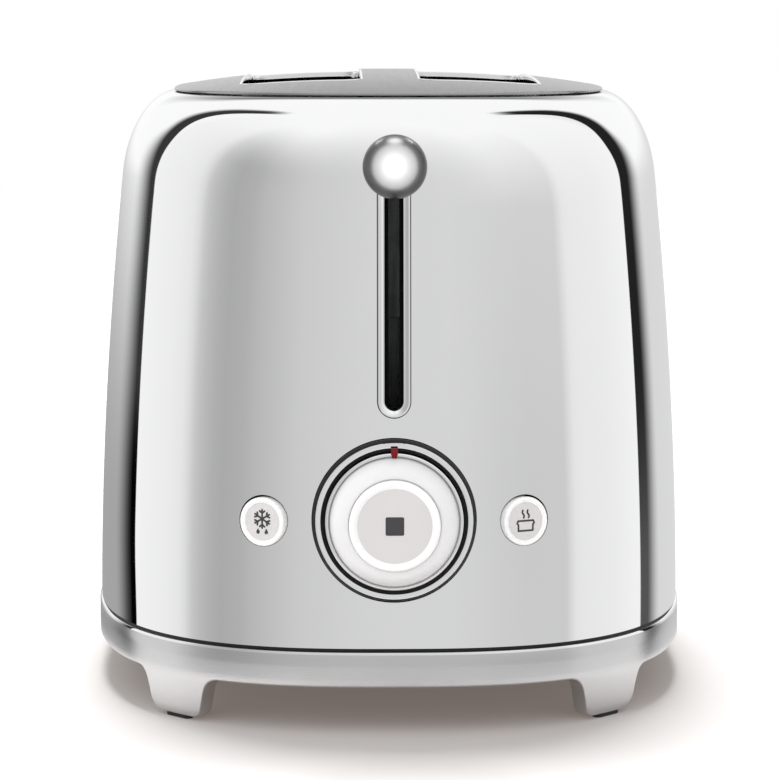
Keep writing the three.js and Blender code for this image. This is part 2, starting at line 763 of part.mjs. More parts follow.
// Side buttons, each in a turned group on the shell's face
const splay = buttonSplay * Math.PI / 180;
const buttonRear = buttonThickness - buttonProud;
const buttonStemEnd = (tactFace - seatGap - buttonPlace(1)[1] - buttonStemDiameter / 2 * Math.sin(splay))
  / Math.cos(splay) - buttonTravel;

function sideButton() {
  const [edge, stem] = [buttonDiameter / 2, buttonStemDiameter / 2];
  const disc = -buttonProud + buttonRimHeight;
  return turned([
    [0, disc], [edge - buttonRimWidth - buttonRimHeight, disc], [edge - buttonRimWidth, -buttonProud],
    [edge - buttonRimHeight, -buttonProud], [edge, -buttonProud + buttonRimHeight], [edge, buttonRear],
    [stem, buttonRear], [stem, buttonStemEnd], [0, buttonStemEnd],
  ]);
}
[['defrost_button', -1], ['reheat_button', 1]].forEach(([name, side]) => {
  const holder = new THREE.Group();
  holder.position.set(...buttonPlace(side));
  holder.rotation.z = side * splay;
  toaster.add(holder);
  add(name, 'whiteGloss', sideButton(), holder);
});

// Control carrier behind the shell: a cup for the bezel, guides for the buttons, posts for the board
const boardPosts = [-1, 1].flatMap((across) => [-1, 1].map((up) => [
  across * (boardWidth / 2 - postInset), dialHeight + up * (boardHeight / 2 - postInset)]));

function controlCarrier() {
  const low = dialHeight - bezelDiameter / 2 - carrierBelowBezel;
  const high = dialHeight + bezelDiameter / 2 + carrierAboveBezel;
  const face = shellWall + seatGap;
  const levels = [low - seatGap, (low + high) / 2, high + seatGap];
  const inside = lofted(levels.map((z) => [...shellHalves(z, face), z]), [levels[0], levels[2]]);
  const panel = common(
    shellBand(face, face + carrierThickness, low, high),
    block(-carrierHalfWidth, carrierHalfWidth, -halfLength, -frameFace, low, high));
  const cupBore = bezelDiameter + 2 * seatGap;
  const cup = axle(cupBore + 2 * cupWall, -halfLength, cupFloor + cupWall, 0, dialHeight, hiddenSegments);
  const guideBore = buttonDiameter + 2 * runningGap;
  const guideFloor = buttonRear + buttonTravel + seatGap;
  const guideOuter = guideBore + 2 * buttonGuideWall;
  const guideEnd = guideFloor + buttonGuideFloor;
  const guides = [-1, 1].map((side) => onButtonAxis(
    axle(guideOuter, -buttonProud, guideEnd, 0, 0, hiddenSegments), side));
  const posts = boardPosts.map(([x, z]) => axle(
    postDiameter, shellFrontAt(x, z, face + carrierThickness / 2), boardFace - seatGap, x, z));
  const cavities = [
    axle(cupBore, -halfLength - cutOverrun, cupFloor, 0, dialHeight, roundSegments),
    axle(dialTubeDiameter + 2 * runningGap, -halfLength, -frameFace, 0, dialHeight, roundSegments),
    ...[-1, 1].map((side) => onButtonAxis(
      axle(guideBore, -cutOverrun, guideFloor, 0, 0, roundSegments), side)),
    ...[-1, 1].map((side) => onButtonAxis(
      axle(buttonStemDiameter + 2 * runningGap, -cutOverrun, guideFloor + cutOverrun / 2), side)),
  ];
  return cut(join(panel, ...[cup, ...guides, ...posts].map((form) => common(form, inside))), ...cavities);
}
add('control_carrier', 'greyPlastic', controlCarrier());

// Control board with its push switches, and the ring-shaped browning control round the dial's tube
function controlBoard() {
  const [halfX, halfZ] = [boardWidth / 2, boardHeight / 2];
  const plate = block(
    -halfX, halfX, boardFace, boardFace + boardThickness, dialHeight - halfZ, dialHeight + halfZ);
  const stemShift = buttonStemEnd * Math.sin(splay);
  const switches = [-1, 0, 1].map((side) => {
    const x = side * (buttonSpacing / 2 - stemShift);
    const z = dialHeight - Math.abs(side) * buttonBelowDial;
    return block(
      x - tactSize / 2, x + tactSize / 2, tactFace, boardFace + boardThickness / 2,
      z - tactSize / 2, z + tactSize / 2);
  });
  return join(plate, ...switches);
}
add('control_board', 'board', controlBoard());

function browningControl() {
  const rear = boardFace - seatGap;
  const front = rear - controlDepth;
  const [outer, bore] = [controlDiameter / 2, dialTubeDiameter / 2 + runningGap];
  return turned([[bore, rear], [outer, rear], [outer, front], [bore, front]]);
}
add('browning_control', 'blackPlastic', atDial(browningControl()));

// Frame plates at both ends of the bread slots, standing on the base pan
const screwPlaces = [-1, 1].flatMap((across) => [-1, 1].map((along) => [
  across * (frameSide - frameTabWidth / 2), along * (frameFace + frameTabDepth / 2), across, along]));
const guardPlaces = [-1, 1].flatMap((slot) => [-1, 1].map((side) => [
  slot * slotSpacing / 2 + side * guardOut, slot, side]));

function framePlate(along) {
  const foot = panTop + seatGap;
  const y0 = along < 0 ? -frameFace : frameFace - framePlateThickness;
  const y1 = y0 + framePlateThickness;
  const corner = frameToShell;
  const plate = upright([
    [-frameSide, foot], [frameSide, foot], [frameSide, frameTop - corner],
    [frameSide - corner, frameTop], [-frameSide + corner, frameTop], [-frameSide, frameTop - corner],
  ], y0, y1);
  const tabs = screwPlaces.filter((place) => place[3] === along).map(([x, y]) => block(
    x - frameTabWidth / 2, x + frameTabWidth / 2, Math.min(y - frameTabDepth / 2, y0),
    Math.max(y + frameTabDepth / 2, y1), foot, foot + framePlateThickness));
  const slide = rackNeckWidth + 2 * runningGap;
  const through = [y0 - cutOverrun, y1 + cutOverrun];
  const rackSlots = [-1, 1].map((slot) => block(
    (slot * slotSpacing - slide) / 2, (slot * slotSpacing + slide) / 2, ...through,
    rackRestHeight - leverTravel - runningGap, rackRestHeight + rackThickness + runningGap));
  const railRadius = guardWireDiameter / 2 + runningGap;
  const railSlots = guardPlaces.flatMap(([x, , side]) => [guardBottom, guardTop].map((z) => {
    const [from, to] = [x - side * guardTravel, x].sort((a, b) => a - b);
    return block(from - railRadius, to + railRadius, ...through, z - railRadius, z + railRadius);
  }));
  const holes = screwPlaces.map(([x, y]) => post(
    screwDiameter + 2 * screwGap, foot - cutOverrun, foot + cutOverrun / 2, x, y));
  const notch = along > 0 ? [block(
    -trayWidth / 2 - trayOpeningMargin, trayWidth / 2 + trayOpeningMargin, y0 - cutOverrun, y1 + cutOverrun,
    panTop - cutOverrun, panTop + seatGap + trayHandleHeight + trayOpeningMargin)] : [];
  const rodBore = guideRodDiameter + 2 * seatGap;
  const rodTab = along > 0 ? [] : [cut(
    block(
      guideRodOffset - guideRodDiameter, guideRodOffset + guideRodDiameter,
      guideRodY - guideRodDiameter, y1, frameTop - framePlateThickness, frameTop),
    post(rodBore, frameTop - cutOverrun, frameTop + cutOverrun, guideRodOffset, guideRodY))];
  return cut(join(plate, ...tabs, ...rodTab), ...rackSlots, ...railSlots, ...holes, ...notch);
}
add('front_frame_plate', 'steel', framePlate(-1));
add('rear_frame_plate', 'steel', framePlate(1));

// Heaters: mica cards notched where the ribbon turns, with a ribbon 0.3 mm off each side that faces bread
const ribbonHeights = Array.from({ length: ribbonRuns }, (_, i) => (
  heaterBottom + ribbonMargin + (heaterTop - heaterBottom - 2 * ribbonMargin) * i / (ribbonRuns - 1)));

function heaterCard() {
  const notchFloor = frameInner - heaterNotch;
  const notched = (sign, heights) => heights.flatMap((z) => [
    [sign * frameInner, z - sign * heaterNotch / 2], [sign * notchFloor, z - sign * heaterNotch / 4],
    [sign * notchFloor, z + sign * heaterNotch / 4], [sign * frameInner, z + sign * heaterNotch / 2],
  ]);
  return sideways([
    [-frameInner, heaterBottom], [frameInner, heaterBottom], ...notched(1, ribbonHeights),
    [frameInner, heaterTop], [-frameInner, heaterTop], ...notched(-1, [...ribbonHeights].reverse()),
  ], -heaterThickness / 2, heaterThickness / 2);
}

function heatingRibbon() {
  const reach = frameInner - heaterNotch - ribbonWidth;
  const runs = ribbonHeights.map((z) => block(
    0, ribbonThickness, -reach, reach, z - ribbonWidth / 2, z + ribbonWidth / 2));
  const links = ribbonHeights.slice(1).map((z, i) => {
    const y = (i % 2 ? -1 : 1) * (reach - ribbonWidth / 2);
    return block(
      0, ribbonThickness, y - ribbonWidth / 2, y + ribbonWidth / 2, ribbonHeights[i], z);
  });
  return join(...runs, ...links);
}

[['left', -outerHeaterX], ['middle', 0], ['right', outerHeaterX]].forEach(([name, x]) => {
  add(`heater_card_${name}`, 'mica', heaterCard()).position.x = x;
});
[
  ['left', -outerHeaterX, 1], ['middle_left', 0, -1], ['middle_right', 0, 1], ['right', outerHeaterX, -1],
].forEach(([name, x, facing]) => {
  const offset = heaterThickness / 2 + seatGap + (facing < 0 ? ribbonThickness : 0);
  add(`heating_ribbon_${name}`, 'heatingRibbon', heatingRibbon()).position.x = x + facing * offset;
});

// Reflector sheets outside the outer heaters
function reflector() {
  const [low, high] = [heaterBottom - reflectorFlange, heaterTop + seatGap];
  const sheet = reflectorThickness;
  return upright([
    [0, low], [reflectorFlange, low], [reflectorFlange, low + sheet], [sheet, low + sheet],
    [sheet, high - sheet], [reflectorFlange, high - sheet], [reflectorFlange, high], [0, high],
  ], -frameInner, frameInner);
}
[['left', -1], ['right', 1]].forEach(([name, side]) => {
  const mesh = add(`reflector_${name}`, 'steel', reflector());
  mesh.position.x = side * reflectorX;
  mesh.rotation.z = side < 0 ? Math.PI : 0;
});

// Self-centring bread guards: upright wires on two rails that run through the frame plates
function strut(from, to, diameter, sides) {
  const [start, finishPoint] = [new THREE.Vector3(...from), new THREE.Vector3(...to)];
  const along = finishPoint.clone().sub(start);
  const rod = new THREE.CylinderGeometry(diameter / 2, diameter / 2, along.length(), sides);
  rod.applyQuaternion(new THREE.Quaternion().setFromUnitVectors(
    new THREE.Vector3(0, 1, 0), along.clone().normalize()));
  return rod.translate(...start.add(finishPoint).multiplyScalar(0.5).toArray());
}

function breadGuard(outwards) {
  const railReach = frameFace + guardRunOut;
  const wireReach = slotLength / 2 - frameToSlot / 2;
  const rails = [guardBottom, guardTop].map((z) => (
    strut([0, -railReach, z], [0, railReach, z], guardWireDiameter, wireSides)));
  const wires = Array.from({ length: guardWireCount }, (_, i) => {
    const y = -wireReach + 2 * wireReach * i / (guardWireCount - 1);
    const flareEnd = [outwards * guardFlare, y, guardTop + guardFlareHeight];
    return [
      strut([0, y, guardBottom], [0, y, guardTop + guardWireDiameter / 2], guardWireDiameter, wireSides),
      strut([0, y, guardTop], flareEnd, guardWireDiameter, wireSides),
    ];
  }).flat();
  return join(...rails, ...wires);
}
guardPlaces.forEach(([x, slot, side]) => {
  const name = `bread_guard_${slot < 0 ? 'left' : 'right'}_${side === slot ? 'outer' : 'inner'}`;
  add(name, 'steel', breadGuard(side)).position.x = x;
});

// Carriage: a T-shaped bracket on a guide rod, with two racks, the lever, its ball and the armature
const columnTop = leverRestHeight + leverArmHeight / 2 + leverFootThickness / 2;

function carriageBracket() {
  const barHalf = slotSpacing / 2 + rackWidth / 2;
  const column = carriageColumnWidth / 2;
  const barTop = carriageBottom + carriageBarHeight;
  const hubTop = carriageBottom + carriageHubHeight;
  const plate = upright([
    [-barHalf, carriageBottom], [barHalf, carriageBottom], [barHalf, barTop], [column, barTop],
    [column, columnTop], [-column, columnTop], [-column, barTop], [-barHalf, barTop],
  ], carriageFront, carriageRear);
  const hub = post(carriageHubDiameter, carriageBottom, hubTop, guideRodOffset, guideRodY);
  const web = block(
    guideRodOffset - carriageThickness, guideRodOffset + carriageThickness, guideRodY, carriageRear,
    carriageBottom, carriageBottom + carriageBarHeight);
  const bore = post(
    guideRodDiameter + 2 * runningGap, carriageBottom - cutOverrun, hubTop + cutOverrun,
    guideRodOffset, guideRodY);
  return cut(join(plate, hub, web), bore);
}
add('carriage_bracket', 'steel', carriageBracket());
add('guide_rod', 'steel', post(
  guideRodDiameter, panTop + seatGap, frameTop + guideRodDiameter / 2, guideRodOffset, guideRodY));

function breadRack() {
  const [half, neck] = [rackWidth / 2, rackNeckWidth / 2];
  const reach = frameInner - rackEndGap;
  const [front, rear] = [carriageRear + seatGap, frameFace + guardRunOut];
  const fullReach = reach - half + neck;
  const strip = extruded([
    [-neck, front], [neck, front], [neck, -reach], [half, -fullReach], [half, fullReach], [neck, reach],
    [neck, rear], [-neck, rear], [-neck, reach], [-half, fullReach], [-half, -fullReach], [-neck, -reach],
  ], rackThickness, rackRestHeight);
  const teeth = Array.from({ length: rackToothCount }, (_, i) => {
    const y = (reach - rackWidth) * (2 * i / (rackToothCount - 1) - 1);
    return block(
      -half, half, y - rackToothThickness / 2, y + rackToothThickness / 2,
      rackRestHeight + rackThickness / 2, rackRestHeight + rackThickness + rackToothHeight);
  });
  return join(strip, ...teeth);
}
[['left', -1], ['right', 1]].forEach(([name, side]) => {
  add(`bread_rack_${name}`, 'steel', breadRack()).position.x = side * slotSpacing / 2;
});

function leverArm() {
  const rear = carriageFront - seatGap;
  const tip = ballY + ballDiameter / 2 + neckLength;
  const foot = block(
    -leverFootWidth / 2, leverFootWidth / 2, rear - leverFootThickness, rear,
    leverRestHeight - leverArmHeight / 2, leverRestHeight + leverArmHeight / 2);
  const arm = block(
    -leverArmWidth / 2, leverArmWidth / 2, tip, rear,
    leverRestHeight - leverArmHeight / 2, leverRestHeight + leverArmHeight / 2);
  const pin = axle(leverPinDiameter, tip - leverPinLength, tip + seatGap, 0, leverRestHeight);
  return join(foot, arm, pin);
}
add('lever_arm', 'blackPlastic', leverArm());

function leverBall() {
  const radius = ballDiameter / 2;
  const neck = neckDiameter / 2;
  const bore = leverPinDiameter / 2 + seatGap;
  const arcSteps = 9;
  const meet = Math.asin(neck / radius);
  const arc = Array.from({ length: arcSteps + 1 }, (_, i) => {
    const turn = (Math.PI - meet) * i / arcSteps;
    return [radius * Math.sin(turn), ballY - radius * Math.cos(turn)];
  });
  const end = ballY + radius + neckLength - seatGap;
  const floor = end - leverPinLength;
  return turned([...arc, [neck, end], [bore, end], [bore, floor], [0, floor]])
    .translate(0, 0, leverRestHeight);
}
add('lever_ball', 'polished', leverBall());

const armatureX = -magnetOffset;
add('latch_armature', 'steel', block(
  armatureX - armatureWidth / 2, armatureX + armatureWidth / 2, carriageFront - seatGap - magnetDepth,
  carriageFront - seatGap, carriageBottom, carriageBottom + armatureHeight));

// Lift spring wound round the guide rod, between the carriage hub and the frame plate's tab
function liftSpring() {
  const low = carriageBottom + carriageHubHeight + seatGap + springWireDiameter / 2;
  const high = frameTop - framePlateThickness - seatGap - springWireDiameter / 2;
  const radius = guideRodDiameter / 2 + runningGap + springWireDiameter / 2;
  const steps = springTurns * springStepsPerTurn;
  const rings = Array.from({ length: steps + 1 }, (_, i) => {
    const turn = 2 * Math.PI * i / springStepsPerTurn;
    const centre = [radius * Math.cos(turn), radius * Math.sin(turn), low + (high - low) * i / steps];
    return Array.from({ length: wireSides }, (__, k) => {
      const around = 2 * Math.PI * k / wireSides;
      const out = springWireDiameter / 2 * Math.cos(around);
      return [
        centre[0] + out * Math.cos(turn), centre[1] + out * Math.sin(turn),
        centre[2] + springWireDiameter / 2 * Math.sin(around),
      ];
    });
  });
  const faces = [];
  for (let ring = 0; ring < steps; ring += 1) {
    for (let k = 0; k < wireSides; k += 1) {
      const [a, b] = [ring * wireSides + k, ring * wireSides + (k + 1) % wireSides];
      faces.push(a, a + wireSides, b + wireSides, a, b + wireSides, b);
    }
  }
  const last = steps * wireSides;
  for (let k = 1; k < wireSides - 1; k += 1) {
    faces.push(0, k, k + 1, last, last + k + 1, last + k);
  }
  const geometry = new THREE.BufferGeometry();
  geometry.setAttribute('position', new THREE.Float32BufferAttribute(rings.flat(2), 3));
  geometry.setIndex(faces);
  return geometry.translate(guideRodOffset, guideRodY, 0);
}
add('lift_spring', 'steel', liftSpring());

// Holding magnet under the armature, and the mains switch under the carriage bar
function holdingMagnet() {
  const [y0, y1] = [carriageFront - seatGap - magnetDepth, carriageFront - seatGap];
  const [low, high] = [panTop + seatGap, carriageBottom - leverTravel - seatGap];
  const core = block(armatureX - magnetWidth / 2, armatureX + magnetWidth / 2, y0, y1, low, high);
  const coil = block(
    armatureX - magnetWidth / 2 - magnetCoilStep, armatureX + magnetWidth / 2 + magnetCoilStep,
    y0 - magnetCoilStep, y1, low + magnetCoilStep, high - magnetCoilStep * 2);
  return join(core, coil);
}
add('holding_magnet', 'greyPlastic', holdingMagnet());
add('mains_switch', 'blackPlastic', block(
  switchX - switchWidth / 2, switchX + switchWidth / 2, -frameFace - seatGap - switchDepth,
  -frameFace - seatGap, panTop + switchLift, panTop + switchLift + switchHeight));

// Base pan with vents, cord hooks, and holes for the gland and the screws
const glandX = -halfWidth * glandSideShare;
const glandY = halfLength * glandPlaceShare;

function basePan() {
  const plate = extruded(planOutline(skirtWall + seatGap), panThickness, panBottom);
  const vents = [-1, 1].flatMap((side) => Array.from({ length: ventCount }, (_, i) => {
    const [x, y] = [side * skirtWidth * ventRowShare / 2, ventPitch * (i - ventCount + 1)];
    return block(
      x - ventLength / 2, x + ventLength / 2, y - ventWidth / 2, y + ventWidth / 2,
      panBottom - cutOverrun, panTop + cutOverrun);
  }));
  const hookY = halfLength * hookPlaceShare;
  const hooks = [-1, 1].flatMap((side) => {
    const x = side * skirtWidth * hookSpacingShare / 2;
    return [
      block(
        x - hookPostWidth / 2, x + hookPostWidth / 2, hookY - hookPostDepth / 2,
        hookY + hookPostDepth / 2, panBottom - hookDrop, panBottom + panThickness / 2),
      block(
        x - hookBarLength / 2, x + hookBarLength / 2, hookY - hookPostDepth / 2,
        hookY + hookPostDepth / 2, panBottom - hookDrop, panBottom - hookDrop + hookBarThickness),
    ];
  });
  const holes = screwPlaces.map(([x, y]) => post(
    screwDiameter + 2 * screwGap, panBottom - cutOverrun, panTop + cutOverrun, x, y));
  const glandBoss = glandDiameter + 2 * seatGap;
  const glandHole = post(
    glandBoss, panBottom - cutOverrun, panTop + cutOverrun, glandX, glandY, hiddenSegments);
  return cut(join(plate, ...hooks), ...vents, ...holes, glandHole);
}
add('base_pan', 'greyPlastic', basePan());

function cordGland() {
  const [neck, bore] = [glandDiameter / 2, glandBore / 2];
  const flange = neck + glandFlange;
  const [under, over] = [panBottom - seatGap, panTop + seatGap];
  const [low, top] = [panBottom - glandDrop, over + glandFlangeThickness];
  return turned([
    [bore, low], [neck, low], [flange, under - glandFlangeThickness], [flange, under],
    [neck, under], [neck, over], [flange, over], [flange, top], [bore, top],
  ], hiddenSegments).rotateX(Math.PI / 2).translate(glandX, glandY, 0);
}
add('cord_gland', 'blackPlastic', cordGland());

screwPlaces.forEach(([x, y, across, along]) => {
  const name = `base_screw_${along < 0 ? 'front' : 'rear'}_${across < 0 ? 'left' : 'right'}`;
  const headTop = panBottom - screwGap;
  const tip = panTop + seatGap + framePlateThickness + screwDiameter;
  add(name, 'steel', join(
    post(screwHeadDiameter, headTop - screwHeadHeight, headTop, x, y),
    post(screwDiameter, headTop - screwHeadHeight / 2, tip, x, y)));
});

// Crumb tray with its handle strip flush in the skirt
function crumbTray() {
  const bottom = panTop + seatGap;
  const half = trayWidth / 2;
  const front = -frameInner;
  const handleTop = bottom + trayHandleHeight;
  const handleBlock = block(-half, half, frameFace, halfLength + cutOverrun, bottom, handleTop);
  const inside = extruded(planOutline(trayHandleThickness / 2), trayRimHeight, bottom);
  const rims = [
    block(-half, half, front, halfLength, bottom, bottom + trayWall),
    block(-half, -half + trayWall, front, halfLength, bottom, bottom + trayRimHeight),
    block(half - trayWall, half, front, halfLength, bottom, bottom + trayRimHeight),
    block(-half, half, front, front + trayWall, bottom, bottom + trayRimHeight),
  ];
  const at = (inset, z) => [halfWidth - inset, halfLength - inset, z];
  const strip = lofted([
    at(0, bottom - cutOverrun), at(0, skirtTop), at(trayHandleThickness, skirtTop),
    at(trayHandleThickness, bottom - cutOverrun),
  ]);
  const handle = cut(common(strip, handleBlock), block(
    -trayGripWidth / 2, trayGripWidth / 2, halfLength - trayGripDepth, halfLength + cutOverrun,
    bottom - cutOverrun, bottom + trayGripHeight));
  return join(common(join(...rims), inside), handle);
}
add('crumb_tray', 'steel', crumbTray());

export default toaster;
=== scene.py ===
import json
import math

import bmesh
import bpy
import numpy as np
from mathutils import Matrix, Vector


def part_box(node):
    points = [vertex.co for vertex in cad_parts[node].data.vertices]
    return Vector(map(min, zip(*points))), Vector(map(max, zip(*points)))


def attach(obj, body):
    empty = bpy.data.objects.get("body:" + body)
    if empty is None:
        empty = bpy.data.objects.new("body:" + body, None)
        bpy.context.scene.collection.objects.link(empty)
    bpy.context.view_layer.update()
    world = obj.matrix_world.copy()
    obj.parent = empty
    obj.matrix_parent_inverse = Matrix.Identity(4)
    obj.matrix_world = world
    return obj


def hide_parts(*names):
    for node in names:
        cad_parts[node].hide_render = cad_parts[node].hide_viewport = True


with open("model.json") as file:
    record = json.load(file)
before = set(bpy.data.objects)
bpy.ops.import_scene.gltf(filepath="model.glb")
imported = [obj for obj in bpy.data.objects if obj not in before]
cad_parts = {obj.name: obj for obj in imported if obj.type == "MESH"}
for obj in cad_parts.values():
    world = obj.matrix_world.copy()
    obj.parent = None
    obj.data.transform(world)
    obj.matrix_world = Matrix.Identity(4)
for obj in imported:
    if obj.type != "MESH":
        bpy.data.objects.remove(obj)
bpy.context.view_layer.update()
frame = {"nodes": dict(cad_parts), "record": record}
mm = 0.001


# Shared ways of making a mesh

def pieceFrom(name, points, faces, edges=()):
    mesh = bpy.data.meshes.new(name)
    mesh.from_pydata([tuple(p) for p in points], edges, faces)
    mesh.validate()
    piece = bpy.data.objects.new(name, mesh)
    bpy.context.scene.collection.objects.link(piece)
    return piece


def tidyMesh(piece, distance=0.01 * mm):  # welds seams and poles, and turns faces outwards
    work = bmesh.new()
    work.from_mesh(piece.data)
    bmesh.ops.remove_doubles(work, verts=work.verts, dist=distance)
    bmesh.ops.dissolve_degenerate(work, edges=work.edges, dist=distance / 4)
    bmesh.ops.recalc_face_normals(work, faces=work.faces)
    work.to_mesh(piece.data)
    work.free()
    return piece


def smoothShade(piece, angle=35):
    piece.data.shade_smooth()
    piece.data.set_sharp_from_angle(angle=math.radians(angle))
    return piece


def applyModifiers(piece):
    bpy.context.view_layer.update()
    solved = bpy.data.meshes.new_from_object(piece.evaluated_get(bpy.context.evaluated_depsgraph_get()))
    piece.modifiers.clear()
    old, piece.data = piece.data, solved
    bpy.data.meshes.remove(old)
    solved.name = piece.name
    return piece


def cutWith(piece, *tools, how="DIFFERENCE"):
    for tool in tools:
        step = piece.modifiers.new("cut", "BOOLEAN")
        step.operation, step.solver, step.object = how, "EXACT", tool
    applyModifiers(piece)
    for tool in tools:
        bpy.data.objects.remove(tool)
    return piece


def addBevel(piece, width, segments=2, angle=30):
    step = piece.modifiers.new("soft edges", "BEVEL")
    step.width, step.segments = width * mm, segments
    step.limit_method, step.angle_limit = "ANGLE", math.radians(angle)


def ringsToFaces(count, rings, closed=False):  # quads between rings of equal count, round a closed outline
    faces = []
    for ring in range(rings if closed else rings - 1):
        above = (ring + 1) % rings
        for i in range(count):
            j = (i + 1) % count
            faces.append((ring * count + i, ring * count + j, above * count + j, above * count + i))
    return faces


def ringPiece(name, points, count, closed=True, weld=0.01 * mm):  # a skin over rings of count points each
    return tidyMesh(pieceFrom(name, points, ringsToFaces(count, len(points) // count, closed)), weld)


def slab(name, points):  # two equal rings, with a face over each
    count = len(points) // 2
    ends = [tuple(range(count)), tuple(range(count, 2 * count))]
    return tidyMesh(pieceFrom(name, points, ringsToFaces(count, 2) + ends))


def evenTurns(count):
    return [2 * math.pi * i / count for i in range(count)]


def turnedPiece(name, outline, place, splay=0.0, segments=128):  # (radius, depth) in mm, turned round Y
    turn = Matrix.Rotation(splay, 3, "Z")
    points = [place + turn @ Vector((radius * math.cos(a), depth, radius * math.sin(a))) * mm
              for radius, depth in outline for a in evenTurns(segments)]
    return ringPiece(name, points, segments, outline[0][0] > 0)


def arcPoints(centre, radii, start, end, steps):  # angles in degrees
    return [(centre[0] + radii[0] * math.cos(math.radians(a)),
             centre[1] + radii[1] * math.sin(math.radians(a))) for a in np.linspace(start, end, steps)]


def finer(path, step):  # a closed outline with points at most about a step apart
    points = []
    for (x0, y0), (x1, y1) in zip(path, path[1:] + path[:1]):
        span = math.hypot(x1 - x0, y1 - y0)
        count = max(1, int(span / step)) if span > 1e-6 else 0
        points += [(x0 + (x1 - x0) * k / count, y0 + (y1 - y0) * k / count) for k in range(count)]
    return points


def widened(path, out):  # a closed anticlockwise outline, moved outwards
    points = []
    for i, (x, y) in enumerate(path):
        (xa, ya), (xb, yb) = path[i - 1], path[(i + 1) % len(path)]
        size = math.hypot(xb - xa, yb - ya)
        points.append((x + out * (yb - ya) / size, y - out * (xb - xa) / size))
    return points


def prism(name, outline, y0, y1, place=Vector((0, 0, 0)), splay=0.0):  # upright outline in X and Z, mm
    turn = Matrix.Rotation(splay, 3, "Z")
    return slab(name, [place + turn @ Vector((x, y, z)) * mm for y in (y0, y1) for x, z in outline])


def circleOutline(radius, segments=96):
    return [(radius * math.cos(a), radius * math.sin(a)) for a in evenTurns(segments)]


def stadium(width, height, middle, steps=24):  # upright slot outline with round ends
    radius, reach = width / 2, height / 2 - width / 2
    turns = [math.pi * i / steps for i in range(steps + 1)]
    turns += [math.pi + turn for turn in turns]
    return [(radius * math.cos(a), middle + (reach if a < math.pi else -reach) + radius * math.sin(a))
            for a in turns]


def roundedBox(width, height, corner, steps=10):
    points = []
    for index, (sx, sy) in enumerate(((1, 1), (-1, 1), (-1, -1), (1, -1))):
        for step in range(steps + 1):
            a = (index + step / steps) * math.pi / 2
            points.append((sx * (width / 2 - corner) + corner * math.cos(a),
                           sy * (height / 2 - corner) + corner * math.sin(a)))
    return points


# Node sockets that take Python's operators, and one way to add any other node

def arithmetic(operation, swapped=False):
    if swapped:
        return lambda self, other: self.calc(operation, other, self)
    return lambda self, other: self.calc(operation, self, other)


class Wire:
    def __init__(self, recipe, node, socket):
        self.recipe, self.node, self.socket = recipe, node, socket

    def out(self, name):
        return Wire(self.recipe, self.node, self.node.outputs[name])

    def calc(self, operation, *values):
        return self.recipe.add("ShaderNodeMath", dict(enumerate(values)), operation=operation)

    __add__ = __radd__ = arithmetic("ADD")
    __mul__ = __rmul__ = arithmetic("MULTIPLY")
    __sub__, __rsub__ = arithmetic("SUBTRACT"), arithmetic("SUBTRACT", True)
    __truediv__, __rtruediv__ = arithmetic("DIVIDE"), arithmetic("DIVIDE", True)
    __pow__, __gt__ = arithmetic("POWER"), arithmetic("GREATER_THAN")

    def __neg__(self):
        return self * -1.0

    def __abs__(self):
        return self.calc("ABSOLUTE", self)

    def ease(self, low, high, kind="SMOOTHSTEP"):  # 0 below low, 1 above high
        values = {"Value": self, "From Min": low, "From Max": high, "To Min": 0.0, "To Max": 1.0}
        return self.recipe.add("ShaderNodeMapRange", values, interpolation_type=kind)


class Recipe:
    def __init__(self, tree):
        self.tree = tree

    def add(self, kind, values=None, output=None, **settings):
        node = self.tree.nodes.new(kind)
        stops = settings.pop("stops", None)
        for key, value in settings.items():
            setattr(node, key, value)
        if stops:
            band = node.color_ramp
            while len(band.elements) < len(stops):
                band.elements.new(1.0)
            for element, (place, grey) in zip(band.elements, stops):
                element.position, element.color = place, (grey, grey, grey, 1.0)
        for key, value in (values or {}).items():
            socket = node.inputs[key]
            if isinstance(value, Wire):
                self.tree.links.new(value.socket, socket)
            else:
                socket.default_value = value
        first = next((o for o in node.outputs if o.enabled), None)
        return Wire(self, node, node.outputs[output] if output is not None else first)

    def mix(self, factor, first, second, blend="MIX"):
        return self.add("ShaderNodeMix", {0: factor, 6: first, 7: second}, data_type="RGBA", blend_type=blend)

    def place(self, scale=(1.0, 1.0, 1.0)):  # Object coordinates in metres, stretched
        return self.add("ShaderNodeMapping", {0: self.add("ShaderNodeTexCoord", output="Object"), 3: scale})

    def noise(self, scale, detail=3.0, rough=0.5, stretch=(1.0, 1.0, 1.0)):
        values = {"Vector": self.place(stretch), "Scale": scale, "Detail": detail, "Roughness": rough}
        return self.add("ShaderNodeTexNoise", values, output=0)

    def bump(self, height, depth, strength=1.0):
        return self.add("ShaderNodeBump", {"Height": height, "Distance": depth, "Strength": strength})


def srgb(*levels):  # 0 to 255 as written to linear light
    return tuple((v / 255 / 12.92) if v < 10.31 else ((v / 255 + 0.055) / 1.055) ** 2.4
                 for v in levels) + (1.0,)


def finish(name, build):
    material = bpy.data.materials.new(name)
    material.use_nodes = True
    recipe = Recipe(material.node_tree)
    surface = material.node_tree.nodes["Principled BSDF"]
    for key, value in build(recipe).items():
        if isinstance(value, Wire):
            material.node_tree.links.new(value.socket, surface.inputs[key])
        else:
            surface.inputs[key].default_value = value
    return material


def dress(piece, material):
    piece.data.materials.clear()
    piece.data.materials.append(material)
    return piece


# Camera

view = {"side": -16.7, "back": -1171.9, "height": 218.6, "look": (0.0149, 0.9939, -0.1097), "lens": 158.3}
skirtLow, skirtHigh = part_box("base_skirt")
middle = (skirtLow.y + skirtHigh.y) / 2 / mm  # the body's own middle along Y, in mm

